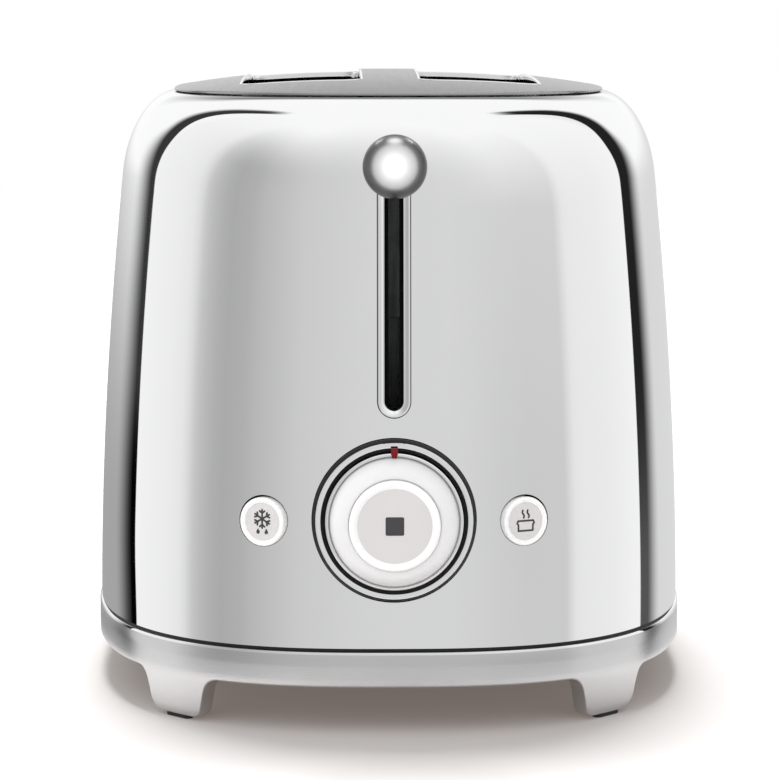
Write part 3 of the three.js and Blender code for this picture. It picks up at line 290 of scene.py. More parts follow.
lens = bpy.data.cameras.new("camera")
lens.lens, lens.sensor_width, lens.clip_start, lens.clip_end = view["lens"], 36.0, 0.05, 50.0
camera = bpy.data.objects.new("camera", lens)
camera.location = Vector((view["side"], middle + view["back"], view["height"])) * mm
camera.rotation_euler = Vector(view["look"]).to_track_quat("-Z", "Y").to_euler()
bpy.context.scene.collection.objects.link(camera)
bpy.context.scene.camera = camera
print("camera set")

# Finishes: two shades of each, blended by a noise. A noise is (scale, detail, roughness, stretch).

shades = {
    "polish": ((0.93, 0.93, 0.935, 1.0), (0.915, 0.918, 0.925, 1.0)),
    # the ball's chrome is darkened in its colour: a painted dark reflection of its surroundings
    "ball": (srgb(84, 84, 84), srgb(79, 79, 79)),
    "satin": (srgb(170, 168, 169), srgb(164, 162, 163)),
    "cast": (srgb(214, 214, 214), srgb(207, 207, 208)),
    "zinc": (srgb(176, 178, 180), srgb(150, 152, 155)),
    "mica": (srgb(205, 190, 150), srgb(166, 146, 104)),
    "micaFlake": srgb(226, 216, 186),
    "alloy": (srgb(146, 134, 122), srgb(96, 84, 78)),
    "board": (srgb(24, 78, 48), srgb(58, 126, 78)),
    "black": (srgb(16, 16, 17), srgb(24, 24, 25)),
    "grey": (srgb(52, 54, 56), srgb(64, 66, 68)),
    "mark": (srgb(58, 58, 60), srgb(66, 66, 68)),
    "shadow": (srgb(7, 7, 7), srgb(10, 10, 10)),
    "rubber": (srgb(24, 24, 25), srgb(38, 38, 40)),
    "red": (srgb(128, 16, 24), srgb(110, 12, 19)),
    # dome is the buttons' white made darker, as painted shade over the dial's dome
    "button": srgb(247, 247, 247), "dome": srgb(231, 231, 232), "disc": srgb(212, 210, 210),
    "glossCloud": 0.965,
}


def blended(pair, patterns, rough, relief=None, span=(0.3, 0.7), **more):
    # The first pattern blends the shades. rough is its base, then each pattern's share in it.
    # relief is a pattern's number, a depth in metres and a strength.
    def build(recipe):
        noises = [recipe.noise(*pattern) for pattern in patterns]
        roughness = rough[0]
        for noise, share in zip(noises, rough[1:]):
            roughness = noise * share + roughness if share else roughness
        values = {"Base Color": recipe.mix(noises[0].ease(*span), *pair), "Roughness": roughness, **more}
        if relief:
            which, depth, strength = relief
            values["Normal"] = recipe.bump(noises[which], depth, strength)
        return values
    return build


def mouldedPlastic(pair, rough, shine=0.3):
    patterns = [(30.0, 3.0), (1600.0, 3.0, 0.6)]
    return blended(pair, patterns, (rough, 0.0, 0.14), (1, 0.00006, 0.5), **{"Specular IOR Level": shine})


def whiteGloss(level, rough=0.2):
    pair = level, tuple(v * shades["glossCloud"] for v in level[:3]) + (1.0,)
    return blended(pair, [(24.0, 2.0), (240.0, 2.0)], (rough, 0.05), (1, 0.00004, 0.2),
                   **{"Coat Weight": 0.35, "Coat Roughness": 0.06})


def polishedSteel(recipe):
    smear = recipe.noise(26.0, 4.0, 0.6, (1.0, 1.0, 0.35))
    fine = recipe.noise(900.0, 2.0, 0.5, (1.0, 1.0, 0.08))
    return {
        "Base Color": recipe.mix(smear.ease(0.35, 0.75), *shades["polish"]),
        "Metallic": 1.0,
        "Roughness": 0.018 + smear.ease(0.45, 0.8) * 0.035 + fine * 0.01,
        "Normal": recipe.bump(recipe.noise(14.0, 1.0, 0.4), 0.00012, 0.25),
    }


def zincSteel(recipe):
    cells = recipe.add("ShaderNodeTexVoronoi", {"Vector": recipe.place(), "Scale": 160.0}, output="Color")
    spangle = recipe.add("ShaderNodeSeparateColor", {"Color": cells}, output="Red")
    streak = recipe.noise(500.0, 3.0, 0.6, (1.0, 1.0, 0.06))
    return {
        "Base Color": recipe.mix(0.08, recipe.mix(streak.ease(0.3, 0.7), *shades["zinc"]), spangle,
                                 "OVERLAY"),
        "Metallic": 1.0,
        "Roughness": 0.34 + streak * 0.14,
        "Normal": recipe.bump(streak, 0.00005, 0.4),
    }


def micaSheet(recipe):
    place = recipe.place((1.0, 1.0, 1.4))
    flake = recipe.add("ShaderNodeTexVoronoi", {"Vector": place, "Scale": 90.0}, output="Distance")
    stain = recipe.noise(40.0, 5.0, 0.6)
    tint = recipe.mix(stain.ease(0.3, 0.75), *shades["mica"])
    return {
        "Base Color": recipe.mix(flake.ease(0.2, 0.9) * 0.35, tint, shades["micaFlake"]),
        "Roughness": 0.45 + stain * 0.2,
        "Normal": recipe.bump(flake, 0.0002, 0.3),
    }


def circuitBoard(recipe):
    upright = {"Vector": recipe.add("ShaderNodeTexCoord", output="Object"),
               "Rotation": (math.pi / 2, 0.0, 0.0)}
    tracks = recipe.add("ShaderNodeTexBrick", {
        "Vector": recipe.add("ShaderNodeMapping", upright),
        "Scale": 60.0, "Mortar Size": 0.06, "Brick Width": 0.9, "Row Height": 0.16,
    }, output="Fac")
    return {
        "Base Color": recipe.mix(tracks * 0.5, *shades["board"]),
        "Roughness": 0.3 + recipe.noise(420.0, 2.0) * 0.15,
        "Normal": recipe.bump(tracks, 0.00005, 0.4),
    }


satin = blended(shades["satin"], [(700.0, 3.0, 0.65, (1.0, 0.03, 1.0)), (18.0, 3.0)], (0.22, 0.03, 0.02),
                (0, 0.00002, 0.2), Metallic=1.0)
cast = blended(shades["cast"], [(22.0, 3.0), (1400.0, 3.0, 0.6)], (0.17, 0.04, 0.07),
               (1, 0.00004, 0.5), Metallic=1.0)
alloy = blended(shades["alloy"], [(260.0, 4.0, 0.6)], (0.42, 0.25),
                (0, 0.00003, 0.4), (0.35, 0.7), Metallic=1.0)
ballChrome = blended(shades["ball"], [(60.0, 3.0)], (0.3, 0.05), None, (0.35, 0.75), Metallic=1.0)
rubber = blended(shades["rubber"], [(900.0, 4.0, 0.7)], (0.7, 0.2), (0, 0.0002, 0.6))
enamel = blended(shades["red"], [(400.0, 3.0)], (0.28, 0.1), **{"Specular IOR Level": 0.25})
looks = {
    "polished": finish("polishedSteel", polishedSteel),
    "satin": finish("satinSteel", satin),
    "cast_satin": finish("castSatin", cast),
    "steel": finish("zincSteel", zincSteel),
    "mica": finish("micaSheet", micaSheet),
    "heating_ribbon": finish("heaterAlloy", alloy),
    "black_plastic": finish("blackMoulding", mouldedPlastic(shades["black"], 0.42)),
    "grey_plastic": finish("greyMoulding", mouldedPlastic(shades["grey"], 0.5)),
    "circuit_board": finish("circuitBoard", circuitBoard),
    "white_gloss": finish("whiteGloss", whiteGloss(shades["button"])),
    "pad_rubber": finish("padRubber", rubber),
    "red": finish("redEnamel", enamel),
}
# painted dark reflection: the ball's chrome finish with a darkened colour
ballFinish = finish("darkChrome", ballChrome)
# the dial dome's white gloss, darkened as painted shade
domeGloss = finish("domeGloss", whiteGloss(shades["dome"]))
buttonDisc = finish("buttonDisc", whiteGloss(shades["disc"], 0.35))
buttonMark = finish("buttonMark", mouldedPlastic(shades["mark"], 0.4))
slotShadow = finish("slotShadow", mouldedPlastic(shades["shadow"], 0.6, 0.04))

slotOf = {name: slot["slot"] for slot in frame["record"]["materials"] for name in slot.get("nodes", [])}
for name, node in frame["nodes"].items():
    dress(node, looks[slotOf.get(name) or node.data.materials[0].name.split(".")[0]])
print("finishes made")


covered = set()  # CAD nodes that a piece stands for


def boxOf(name):  # corners of a CAD node's box, in mm
    return [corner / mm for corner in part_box(name)]


def keep(piece, slotName, body, *replaced, look=None):  # look, where it isn't the slot's own
    dress(piece, look or looks[slotName])
    if replaced:
        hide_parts(*replaced)
        covered.update(replaced)
    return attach(piece, body)


def keepTurned(name, outline, place, slotName, body, *replaced, look=None, splay=0.0, segments=128, angle=30):
    piece = smoothShade(turnedPiece(name, outline, place, splay, segments), angle)
    return keep(piece, slotName, body, *replaced, look=look)


# Body form: a superellipse plan whose walls lean in and round over into shoulders

body = {
    "halfWidth": 97.5, "halfLength": 145.0, "planPower": 2.7,
    "bottom": 26.0, "skirtTop": 25.1, "top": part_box("outer_shell")[1].z / mm,
    "setback": 0.6, "lean": 11.0, "leanPower": 1.8, "wall": 1.0, "flange": 7.0,
    "sideSpan": 14.45, "sideHeight": 26.0, "endSpan": 24.7, "endHeight": 33.0,
    "around": 320, "levels": 74, "wallShare": 0.42,
}
hair = 0.01  # mm, over which a slope is measured


def planPoint(halfX, halfY, turn):
    power = 2 / body["planPower"]
    c, s = math.cos(turn), math.sin(turn)
    return halfX * math.copysign(abs(c) ** power, c), halfY * math.copysign(abs(s) ** power, s)


def planReach(x, side, end):  # how far the plan goes along Y at x
    return end * (1 - (abs(x) / side) ** body["planPower"]) ** (1 / body["planPower"])


def planShare(x, y, side, end):  # 1 on a plan with these half sizes, less inside
    p = body["planPower"]
    return ((abs(x) / side) ** p + (abs(y) / end) ** p) ** (1 / p)


def planRing(inset, z, turns, share=1.0, sizes=body):  # one level of a piece that follows the plan
    halves = [(sizes[name] - inset) * share for name in ("halfWidth", "halfLength")]
    return [Vector((x, y + middle, z)) * mm for x, y in (planPoint(*halves, turn) for turn in turns)]


def shoulder(span, height, z):
    climb = min(1.0, max(0.0, (z - body["top"] + height) / height))
    return span * (1 - math.sqrt(1 - climb * climb))


def shellHalves(z):
    rise = max(0.0, (z - body["skirtTop"]) / (body["top"] - body["skirtTop"]))
    inset = body["setback"] + body["lean"] * rise ** body["leanPower"]
    return (body["halfWidth"] - inset - shoulder(body["sideSpan"], body["sideHeight"], z),
            body["halfLength"] - inset - shoulder(body["endSpan"], body["endHeight"], z))


def shellFront(x, z):  # depth of the shell's front face, mm, in the part's frame
    return middle - planReach(x, *shellHalves(z))


def shellNormal(point):  # outward normal of the shell's outer face at a point in mm
    z = min(point[2], body["top"] - 2 * hair)
    (side, end), (sideUp, endUp), (sideDown, endDown) = (shellHalves(z + dz) for dz in (0, hair, -hair))
    x, y, p = point[0], point[1] - middle, body["planPower"]
    across, along = abs(x) / side, abs(y) / end
    slope = (across ** p / side * (sideUp - sideDown) + along ** p / end * (endUp - endDown)) / (2 * hair)
    return Vector((math.copysign(across ** (p - 1) / side, x), math.copysign(along ** (p - 1) / end, y),
                   -slope)).normalized()


def shellDistance(point):  # how far a point is from the shell's outer face, roughly, in mm
    halves = shellHalves(min(point[2], body["top"]))
    return abs(planShare(point[0], point[1] - middle, *halves) - 1) * min(halves)


def newTree(name, sizes):  # an empty geometry tree with a named input for each size
    tree = bpy.data.node_groups.new(name, "GeometryNodeTree")
    tree.interface.new_socket("Geometry", in_out="INPUT", socket_type="NodeSocketGeometry")
    kinds = {int: "NodeSocketInt", float: "NodeSocketFloat", bpy.types.Object: "NodeSocketObject"}
    for key, value in sizes.items():
        tree.interface.new_socket(key, in_out="INPUT", socket_type=kinds[type(value)])
    tree.interface.new_socket("Geometry", in_out="OUTPUT", socket_type="NodeSocketGeometry")
    given = tree.nodes.new("NodeGroupInput")
    recipe = Recipe(tree)
    return recipe, {key: Wire(recipe, given, given.outputs[key]) for key in ["Geometry", *sizes]}


def endTree(recipe, shape, material):
    real = recipe.add("GeometryNodeRealizeInstances", {"Geometry": shape})
    dressed = recipe.add("GeometryNodeSetMaterial", {"Geometry": real, "Material": material})
    end = recipe.tree.nodes.new("NodeGroupOutput")
    recipe.tree.links.new(dressed.socket, end.inputs["Geometry"])
    return recipe.tree


def shellSkin():  # the outer face as a rule on a grid: columns go round the plan, rows climb the wall
    rows = body["levels"]
    sizes = {name: float(value) for name, value in body.items() if name not in ("around", "levels", "wall")}
    recipe, size = newTree("shellSkin", sizes)
    counts = {"Size X": 1.0, "Size Y": 1.0, "Vertices X": body["around"] + 1, "Vertices Y": rows + 1}
    grid = recipe.add("GeometryNodeMeshGrid", counts, output="Mesh")
    spot = recipe.add("ShaderNodeSeparateXYZ", {0: recipe.add("GeometryNodeInputPosition")})
    turn = (spot.out("X") + 0.5) * (2 * math.pi)
    row = (spot.out("Y") + 0.5) * (rows / (rows - 1))
    rise = row.calc("MINIMUM", row, 1.0)
    folded = row > 1.0 + 0.2 / rows
    foot = size["top"] - size["endHeight"]
    swing = ((rise - size["wallShare"]) / (1 - size["wallShare"])).ease(0.0, 1.0, "LINEAR") * (math.pi / 2)
    low = (rise / size["wallShare"]).ease(0.0, 1.0, "LINEAR")
    z = size["bottom"] + (foot - size["bottom"]) * low + size["endHeight"] * swing.calc("SINE", swing)
    leaning = ((z - size["skirtTop"]) / (size["top"] - size["skirtTop"])) ** size["leanPower"] * size["lean"]
    inset = size["setback"] + leaning + folded * size["flange"]

    def half(whole, span, height):
        climb = ((z - size["top"] + height) / height).ease(0.0, 1.0, "LINEAR")
        return whole - inset - span * (1 - climb.calc("SQRT", 1 - climb * climb))

    def rounding(angle, halfWay, wave):
        value = angle.calc(wave, angle)
        return halfWay * value.calc("SIGN", value) * abs(value) ** (2 / size["planPower"])

    x = rounding(turn, half(size["halfWidth"], size["sideSpan"], size["sideHeight"]), "COSINE")
    y = rounding(turn, half(size["halfLength"], size["endSpan"], size["endHeight"]), "SINE")
    place = recipe.add("ShaderNodeCombineXYZ", {"X": x * mm, "Y": y * mm + middle * mm, "Z": z * mm})
    moved = recipe.add("GeometryNodeSetPosition", {"Geometry": grid, "Position": place})
    welded = recipe.add("GeometryNodeMergeByDistance", {"Geometry": moved, "Distance": 0.005 * mm})
    return growFrom(endTree(recipe, welded, looks["polished"]), "outerShell", sizes)


def growFrom(tree, name, sizes, points=(), edges=()):  # runs a tree, and keeps the plain mesh
    piece = pieceFrom(name, points, [], edges)
    step = piece.modifiers.new(name, "NODES")
    step.node_group = tree
    for item in tree.interface.items_tree:
        if item.item_type == "SOCKET" and item.in_out == "INPUT" and item.name in sizes:
            step[item.identifier] = sizes[item.name]
    return applyModifiers(piece)


def exactNormals(piece):  # a mirror shows the least error, so the outer face gets the rule's own normals
    mesh, onFace, alike = piece.data, 0.08, 0.9
    cornerNormals = [Vector(c.vector) for c in mesh.corner_normals]
    rule = [None] * len(mesh.vertices)
    for v in mesh.vertices:
        point = v.co / mm
        if point.z > body["top"] - 2 * hair:
            rule[v.index] = Vector((0, 0, 1))
        elif shellDistance(point) < onFace:
            rule[v.index] = shellNormal(point)
    for face in mesh.polygons:
        for loop in face.loop_indices:
            exact = rule[mesh.loops[loop].vertex_index]
            if exact is not None and exact.dot(face.normal) > alike:
                cornerNormals[loop] = exact
    mesh.normals_split_custom_set(cornerNormals)


dialSpot = {"height": 65.3, "holeGap": 0.3, "bezelDiameter": 49.6}
buttonSpot = {"spacing": 79.7, "diameter": 15.0, "drop": 0.95, "splay": 26.0, "gap": 0.38, "holeLift": 0.25}
leverSlot = {"width": 5.4, "trimWidth": 9.8, "low": 96.5, "high": 180.0, "neck": 1.0, "gap": 0.3,
             # the last size is the width of the black ring of painted shade round the trim
             "proud": 0.8, "edge": 0.4, "dish": 38.0, "depth": 2.6, "shadeRing": 0.3}


def onShell(x, z, y=0.0):  # a point in metres on the shell's front face, y mm behind it
    return Vector((x, shellFront(x, z) + y, z)) * mm


def buttonPlace(side, lift=0.0):  # middle of a side button on the shell, and its turn outwards
    b = buttonSpot
    height = dialSpot["height"] - b["drop"] + lift
    return onShell(side * b["spacing"] / 2, height), side * math.radians(b["splay"])


def makeShell():
    shell = shellSkin()
    centre = Vector((0, middle * mm, 0))
    if sum(f.normal.dot((f.center - centre) * Vector((1, 1, 0))) for f in shell.data.polygons) < 0:
        shell.data.flip_normals()
    wall = shell.modifiers.new("wall", "SOLIDIFY")
    wall.thickness, wall.offset, wall.use_even_offset = body["wall"] * mm, -1.0, True
    applyModifiers(shell)
    s, b, away, within = leverSlot, buttonSpot, middle - body["halfLength"] - 30, -80
    grown = 2 * (s["neck"] + s["gap"])
    slotHeight = s["high"] - s["low"] - s["trimWidth"] + s["width"]
    slot = stadium(s["width"] + grown, slotHeight + grown, (s["high"] + s["low"]) / 2)
    opening = circleOutline(dialSpot["bezelDiameter"] / 2 + dialSpot["holeGap"], 160)
    tools = [prism("slotTool", slot, away, within),
             prism("dialTool", opening, away, within, Vector((0, 0, dialSpot["height"] * mm)))]
    for side in (-1, 1):
        hole = circleOutline(b["diameter"] / 2 + b["gap"])
        tools.append(prism("buttonTool", hole, -20, 20, *buttonPlace(side, b["holeLift"])))
    cutWith(shell, *tools)
    exactNormals(smoothShade(shell, 30))
    keep(shell, "polished", "housing", "outer_shell")


makeShell()
print("shell made")

# Base skirt: one casting whose lower edge drops into four feet

skirt = {
    "low": 14.0, "high": 25.1, "chamfer": 1.0, "wall": 6.0, "lip": 1.9, "upstand": 6.0, "upstandWall": 2.0,
    "ledge": 2.0, "ledgeTop": 14.7, "footSpacing": 138.2, "toe": 11.2, "root": 14.9, "fillet": 5.0,
    "toeRadius": 3.0, "toeBottom": 1.2, "setback": 1.2, "edge": 0.6, "trayGap": 0.6, "trayDrop": 0.3,
    # the last two sizes are insets of a dark ring that paints shade into the gap under the shell
    "samples": 14401, "columns": 300, "gapShadeInner": 1.85, "gapShadeOuter": 0.95,
}


def footEdge():  # half of a foot's outline as (distance from its middle, height of its lower edge)
    s = skirt
    flank = math.hypot(s["root"] - s["toe"], s["low"] - s["toeBottom"])
    ux, uz = (s["toe"] - s["root"]) / flank, (s["toeBottom"] - s["low"]) / flank
    filletStart = (s["root"] + s["fillet"], s["low"])
    filletEnd = (s["root"] + ux * s["fillet"], s["low"] + uz * s["fillet"])
    toeStart = (s["toe"] - ux * s["toeRadius"], s["toeBottom"] - uz * s["toeRadius"])
    toeEnd = (s["toe"] - s["toeRadius"], s["toeBottom"])

    def curve(a, corner, b, steps=9):
        return [tuple((1 - t) ** 2 * a[k] + 2 * t * (1 - t) * corner[k] + t * t * b[k] for k in (0, 1))
                for t in np.linspace(0, 1, steps)]

    points = curve(filletStart, (s["root"], s["low"]), filletEnd)
    points += [tuple(filletEnd[k] + (toeStart[k] - filletEnd[k]) * t for k in (0, 1))
               for t in np.linspace(0, 1, 6)[1:-1]]
    points += curve(toeStart, (s["toe"], s["toeBottom"]), toeEnd)
    return points + [(toeEnd[0] * (1 - t), s["toeBottom"]) for t in np.linspace(0, 1, 5)[1:]]


def skirtColumns():  # turns round the plan, with the lower edge's height at each
    s = skirt
    fine = np.linspace(0, 2 * math.pi, s["samples"])
    outline = np.array([planPoint(body["halfWidth"], body["halfLength"], t) for t in fine])
    run = np.concatenate([[0], np.cumsum(np.hypot(*np.diff(outline, axis=0).T))])
    x = s["footSpacing"] / 2
    y = planReach(x, body["halfWidth"], body["halfLength"])
    feet = [run[np.argmin(np.hypot(outline[:, 0] - side * x, outline[:, 1] - end * y))]
            for side, end in ((1, 1), (-1, 1), (-1, -1), (1, -1))]
    half = footEdge()
    columns = [(centre - d, h) for centre in feet
               for d, h in half + [(-d, h) for d, h in reversed(half[:-1])]]
    reach = s["root"] + s["fillet"] + 1
    columns += [(distance, s["low"]) for distance in np.linspace(0, run[-1], s["columns"], endpoint=False)
                if min(abs(distance - f) for f in feet) > reach]
    columns.sort()
    return np.interp([c[0] for c in columns], run, fine), [c[1] for c in columns]


def makeSkirt():
    s = skirt
    turns, low = skirtColumns()

    def leaning(z):
        return s["setback"] * max(0.0, (s["ledgeTop"] - z) / (s["ledgeTop"] - s["toeBottom"]))

    def section(h):  # (inset, height) round the casting, outer face first
        e, rows, inner = s["edge"], 7, s["lip"] + s["upstandWall"]
        points = [(s["lip"], s["high"] + s["upstand"]), (s["lip"], s["high"]), (s["chamfer"], s["high"])]
        points += [(s["chamfer"] * 0.35, s["high"] - s["chamfer"] * 0.3), (0.0, s["high"] - s["chamfer"])]
        points += [(0.0, 20.0), (0.0, 16.5), (0.0, s["ledgeTop"])]
        points += [(leaning(z), z) for z in np.linspace(s["ledgeTop"], h + e, rows + 1)[1:]]
        points += [(leaning(h) + e * (1 - math.cos(a)), h + e * (1 - math.sin(a)))
                   for a in np.linspace(0, math.pi / 2, 6)[1:]]
        wall, tuck = s["wall"] + leaning(h), e * min(1.0, (s["low"] - h) / 2)
        points += [(wall - tuck, h), (wall - tuck * 0.3, h + tuck * 0.3), (wall, h + tuck)]
        points += [(s["wall"] + leaning(z), z) for z in np.linspace(h + tuck, s["low"], rows + 1)[1:]]
        points += [(s["wall"] + s["ledge"], s["low"]), (s["wall"] + s["ledge"], s["ledgeTop"])]
        points += [(s["wall"], s["ledgeTop"]), (s["wall"], s["high"] - s["chamfer"])]
        return points + [(inner, s["high"]), (inner, s["high"] + s["upstand"])]

    points = []
    for ring in zip(*(section(h) for h in low)):
        for turn, (inset, z) in zip(turns, ring):
            points += planRing(inset, z, [turn])
    piece = ringPiece("baseSkirt", points, len(turns), weld=0.004 * mm)
    trayLow, trayHigh = boxOf("crumb_tray")
    across, under = trayHigh.x + s["trayGap"], trayLow.z - s["trayDrop"]
    over = trayHigh.z + s["trayGap"] - s["trayDrop"]
    opening = [(-across, under), (across, under), (across, over), (-across, over)]
    cutWith(piece, prism("trayTool", opening, middle + 90, middle + 170))
    smoothShade(piece, 32)
    keep(piece, "cast_satin", "housing", "base_skirt")
    piece.data.materials.append(looks["polished"])
    for face in piece.data.polygons:  # the chamfer along the upper edge gets the brighter polished finish, as a painted highlight line
        z = face.center.z / mm
        face.material_index = int(s["high"] - s["chamfer"] < z < s["high"] - 0.05 and face.normal.z > 0.2)


def makeGapShade():  # a dark ring in the gap between shell and skirt: painted shade that darkens the gap line
    inner, outer, low, high = (skirt["gapShadeInner"], skirt["gapShadeOuter"],
                               skirt["high"] + 0.02, body["bottom"] - 0.15)
    turns = evenTurns(body["around"])
    points = [p for inset, z in ((outer, low), (outer, high), (inner, high), (inner, low))
              for p in planRing(inset, z, turns)]
    piece = smoothShade(ringPiece("shellGasket", points, len(turns)), 30)
    keep(piece, "black_plastic", "housing")


makeSkirt()
makeGapShade()
print("skirt made")

# Top plate: a domed pressing, with a rolled lip round each bread slot

plate = {
    "halfWidth": 71.76, "halfLength": 109.0, "bottom": body["top"] + 0.3, "rim": 1.0, "rimRadius": 0.6,
    "thickness": 1.0, "rise": 5.4, "domePower": 2.2,
    "slotWidth": 38.025, "slotLength": 145.0, "slotCorner": 6.0, "slotSpacing": 57.19,
    "lipWall": 0.8, "lipRise": 0.2, "lipDepth": 9.0, "lipOverlap": 0.6,
    "domeShares": [0.99, 0.975, 0.955, 0.93, 0.9, 0.86, 0.81, 0.75, 0.68, 0.57, 0.46, 0.35, 0.25, 0.15, 0.06],
}


def plateHeight(x, y):  # domed top face at a place measured from the plate's middle, mm
    share = min(1.0, planShare(x, y, plate["halfWidth"], plate["halfLength"]))
    return plate["bottom"] + plate["rim"] + plate["rise"] * (1 - share ** plate["domePower"])


def makePlate():
    s, base, top, r = plate, plate["bottom"], plate["bottom"] + plate["rim"], plate["rimRadius"]
    rows = [(s["thickness"] + 0.2, base, 1.0), (0.4, base, 1.0), (0.1, base + 0.1, 1.0),
            (0.0, base + 0.4, 1.0)]
    rows += [(r * (1 - math.cos(a)), top - r * (1 - math.sin(a)), 1.0)
             for a in np.linspace(0, math.pi / 2, 8)]
    dome = [(k, s["rise"] * (1 - k ** s["domePower"])) for k in s["domeShares"]]
    rows += [(r, top + rise, k) for k, rise in dome]
    outer = len(rows)
    rows += [(s["thickness"], top - s["thickness"] + rise, k) for k, rise in reversed(dome)]
    turns = evenTurns(240)
    points = [p for inset, z, share in rows for p in planRing(inset, z, turns, share, sizes=s)]
    count, centre = len(turns), len(points)
    faces = [f for f in ringsToFaces(count, len(rows), True) if f[0] // count != outer - 1]
    points += [Vector((0, middle, top + s["rise"])) * mm,
               Vector((0, middle, top + s["rise"] - s["thickness"])) * mm]
    faces += [((outer - 1) * count + i, (outer - 1) * count + (i + 1) % count, centre) for i in range(count)]
    faces += [(outer * count + (i + 1) % count, outer * count + i, centre + 1) for i in range(count)]
    piece = tidyMesh(pieceFrom("topPlate", points, faces))
    grow = s["lipOverlap"]
    hole = roundedBox(s["slotWidth"] + 2 * grow, s["slotLength"] + 2 * grow, s["slotCorner"] + grow)
    cutWith(piece, *(slab("breadTool", [Vector((x + shift, y + middle, z)) * mm
                                        for z in (base - 20, base + 20) for x, y in hole])
                     for shift in (-s["slotSpacing"] / 2, s["slotSpacing"] / 2)))
    keep(smoothShade(piece, 30), "satin", "housing", "top_plate")


def makeLips():  # each lip follows its slot's outline over the dome
    s = plate
    outline = finer(roundedBox(s["slotWidth"], s["slotLength"], s["slotCorner"], 12), 4)
    bulge, r, foot = s["lipRise"], s["lipWall"] / 2, s["bottom"] + s["rim"] + s["rise"] - s["lipDepth"]
    section = [(2 * r, -1.6), (2 * r, bulge - r)]
    section += [(r + r * math.cos(a), bulge - r + r * math.sin(a)) for a in np.linspace(0, math.pi, 9)[1:-1]]
    section += [(0.0, bulge - r), (0.0, -1.6), (0.0, None), (2 * r, None)]
    for side, name in ((-1, "slotLipLeft"), (1, "slotLipRight")):
        points, shift = [], side * s["slotSpacing"] / 2
        for out, lift in section:
            for (x, y), (px, py) in zip(outline, widened(outline, out)):
                z = foot if lift is None else plateHeight(x + shift, y) + lift
                points.append(Vector((px + shift, py + middle, z)) * mm)
        piece = smoothShade(ringPiece(name, points, len(outline)), 40)
        keep(piece, "satin", "housing", look=looks["polished"])


makePlate()
makeLips()
print("top plate made")

# Dial group: bezel, dial with its bright ring and index, stop button

dial = {
    "bezelRadius": 24.8, "landOuter": 23.95, "landInner": 22.3, "bezelDepth": 9.6, "tubeGap": 0.25,
    "skirtRadius": 20.95, "ringWidth": 0.95, "ringEdge": 0.5, "domeRadius": 19.5,
    "skirtProud": 1.4, "domeProud": 8.3, "pocketGap": 0.05, "pocketDepth": 4.6, "pocketEdge": 0.6,
    "shaftInner": 4.2, "shaftOuter": 6.0, "shaftLength": 18.0,
}
index = {"proud": 0.45, "taper": 0.45, "waist": 1.3, "softness": 0.2}
stop = {"radius": 13.8, "proud": 2.1, "rim": 1.75, "rimRise": 0.6, "dish": 0.8, "edge": 0.9, "thickness": 4.2,
        "stem": 3.5, "length": 34.0, "steps": 8, "segments": 128}
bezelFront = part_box("dial_bezel")[0].y / mm
dialCentre = Vector((0, 0, dialSpot["height"] * mm))


def makeBezel():
    d, f = dial, bezelFront
    outer, landOut, landIn, back, tube = (d["bezelRadius"], d["landOuter"], d["landInner"],
                                          f + d["bezelDepth"], f + 8.0)
    outline = [(outer, back), (outer, f + 1.95), (outer - 0.12, f + 1.8), (outer - 0.3, f + 1.9)]
    outline += [(landOut + 0.15, f + 0.5), (landOut, f + 0.25), (landOut - 0.12, f + 0.06),
                (landOut - 0.4, f)]
    outline += [(landIn + 0.4, f + 0.02), (landIn + 0.1, f + 0.12), (landIn, f + 0.35), (landIn, back)]
    keepTurned("dialBezel", outline, dialCentre, "polished", "housing", "dial_bezel",
               segments=160, angle=40)
    # two black pieces stand in for the dark gap round the bezel and the dark groove inside it: painted shade
    shadeRing = [(outer + 0.04, f + 6.0), (outer + 0.04, f + 1.5), (outer - 0.06, f + 1.2),
            (landOut + 0.1, f + 0.25)]
    shadeRing += [(landOut + 0.02, f + 0.5), (outer - 0.5, f + 2.1), (outer - 0.5, f + 6.0)]
    inner = d["skirtRadius"] + d["tubeGap"]
    well = [(landIn, f + 0.9), (inner, f + 1.5), (inner, tube), (landIn, tube)]
    for name, section in (("bezelSeal", shadeRing), ("bezelWell", well)):
        keepTurned(name, section, dialCentre, "black_plastic", "housing")


def makeDial():
    d, front, top = dial, bezelFront - dial["skirtProud"], bezelFront - dial["domeProud"]
    pocket, lip, dome = stop["radius"] + d["pocketGap"], d["pocketEdge"], d["domeRadius"]
    back, floor = bezelFront + d["bezelDepth"] - 0.1, top + d["pocketDepth"]
    edge, end = d["skirtRadius"], back + d["shaftLength"]
    outline = [(edge - 0.2, back), (edge - 0.2, front + 1.6), (dome, front + 1.2), (dome, front - 0.1)]
    outline += arcPoints((pocket + 0.7, front - 0.2), (dome - pocket - 0.7, front - top - 0.2), 0, -88, 22)
    outline += arcPoints((pocket + lip, top + lip), (lip, lip), -90, -180, 6)
    outline += [(pocket, floor), (d["shaftInner"], floor), (d["shaftInner"], end), (d["shaftOuter"], end),
                (d["shaftOuter"], back)]
    keepTurned("browningDial", outline, dialCentre, "white_gloss", "dial", "browning_dial",
               look=domeGloss, segments=144, angle=40)
    r, inner = d["ringEdge"], edge - d["ringWidth"]
    ring = [(edge, back), (edge, front + r)] + arcPoints((edge - r, front + r), (r, r), 0, -90, 6)
    ring += [(inner + 0.2, front), (inner, front + 0.2), (inner, front + 1.4)]
    ring += [(edge - 0.3, front + 1.8), (edge - 0.3, back)]
    keepTurned("dialRing", ring, dialCentre, "polished", "dial", segments=144)
    groove = [(inner + 0.1, front + 0.8), (dome - 0.1, front + 0.8), (dome - 0.1, front + 1.3)]
    groove += [(inner + 0.1, front + 1.3)]
    keep(turnedPiece("dialGroove", groove, dialCentre, segments=144), "polished", "dial", look=looks["satin"])


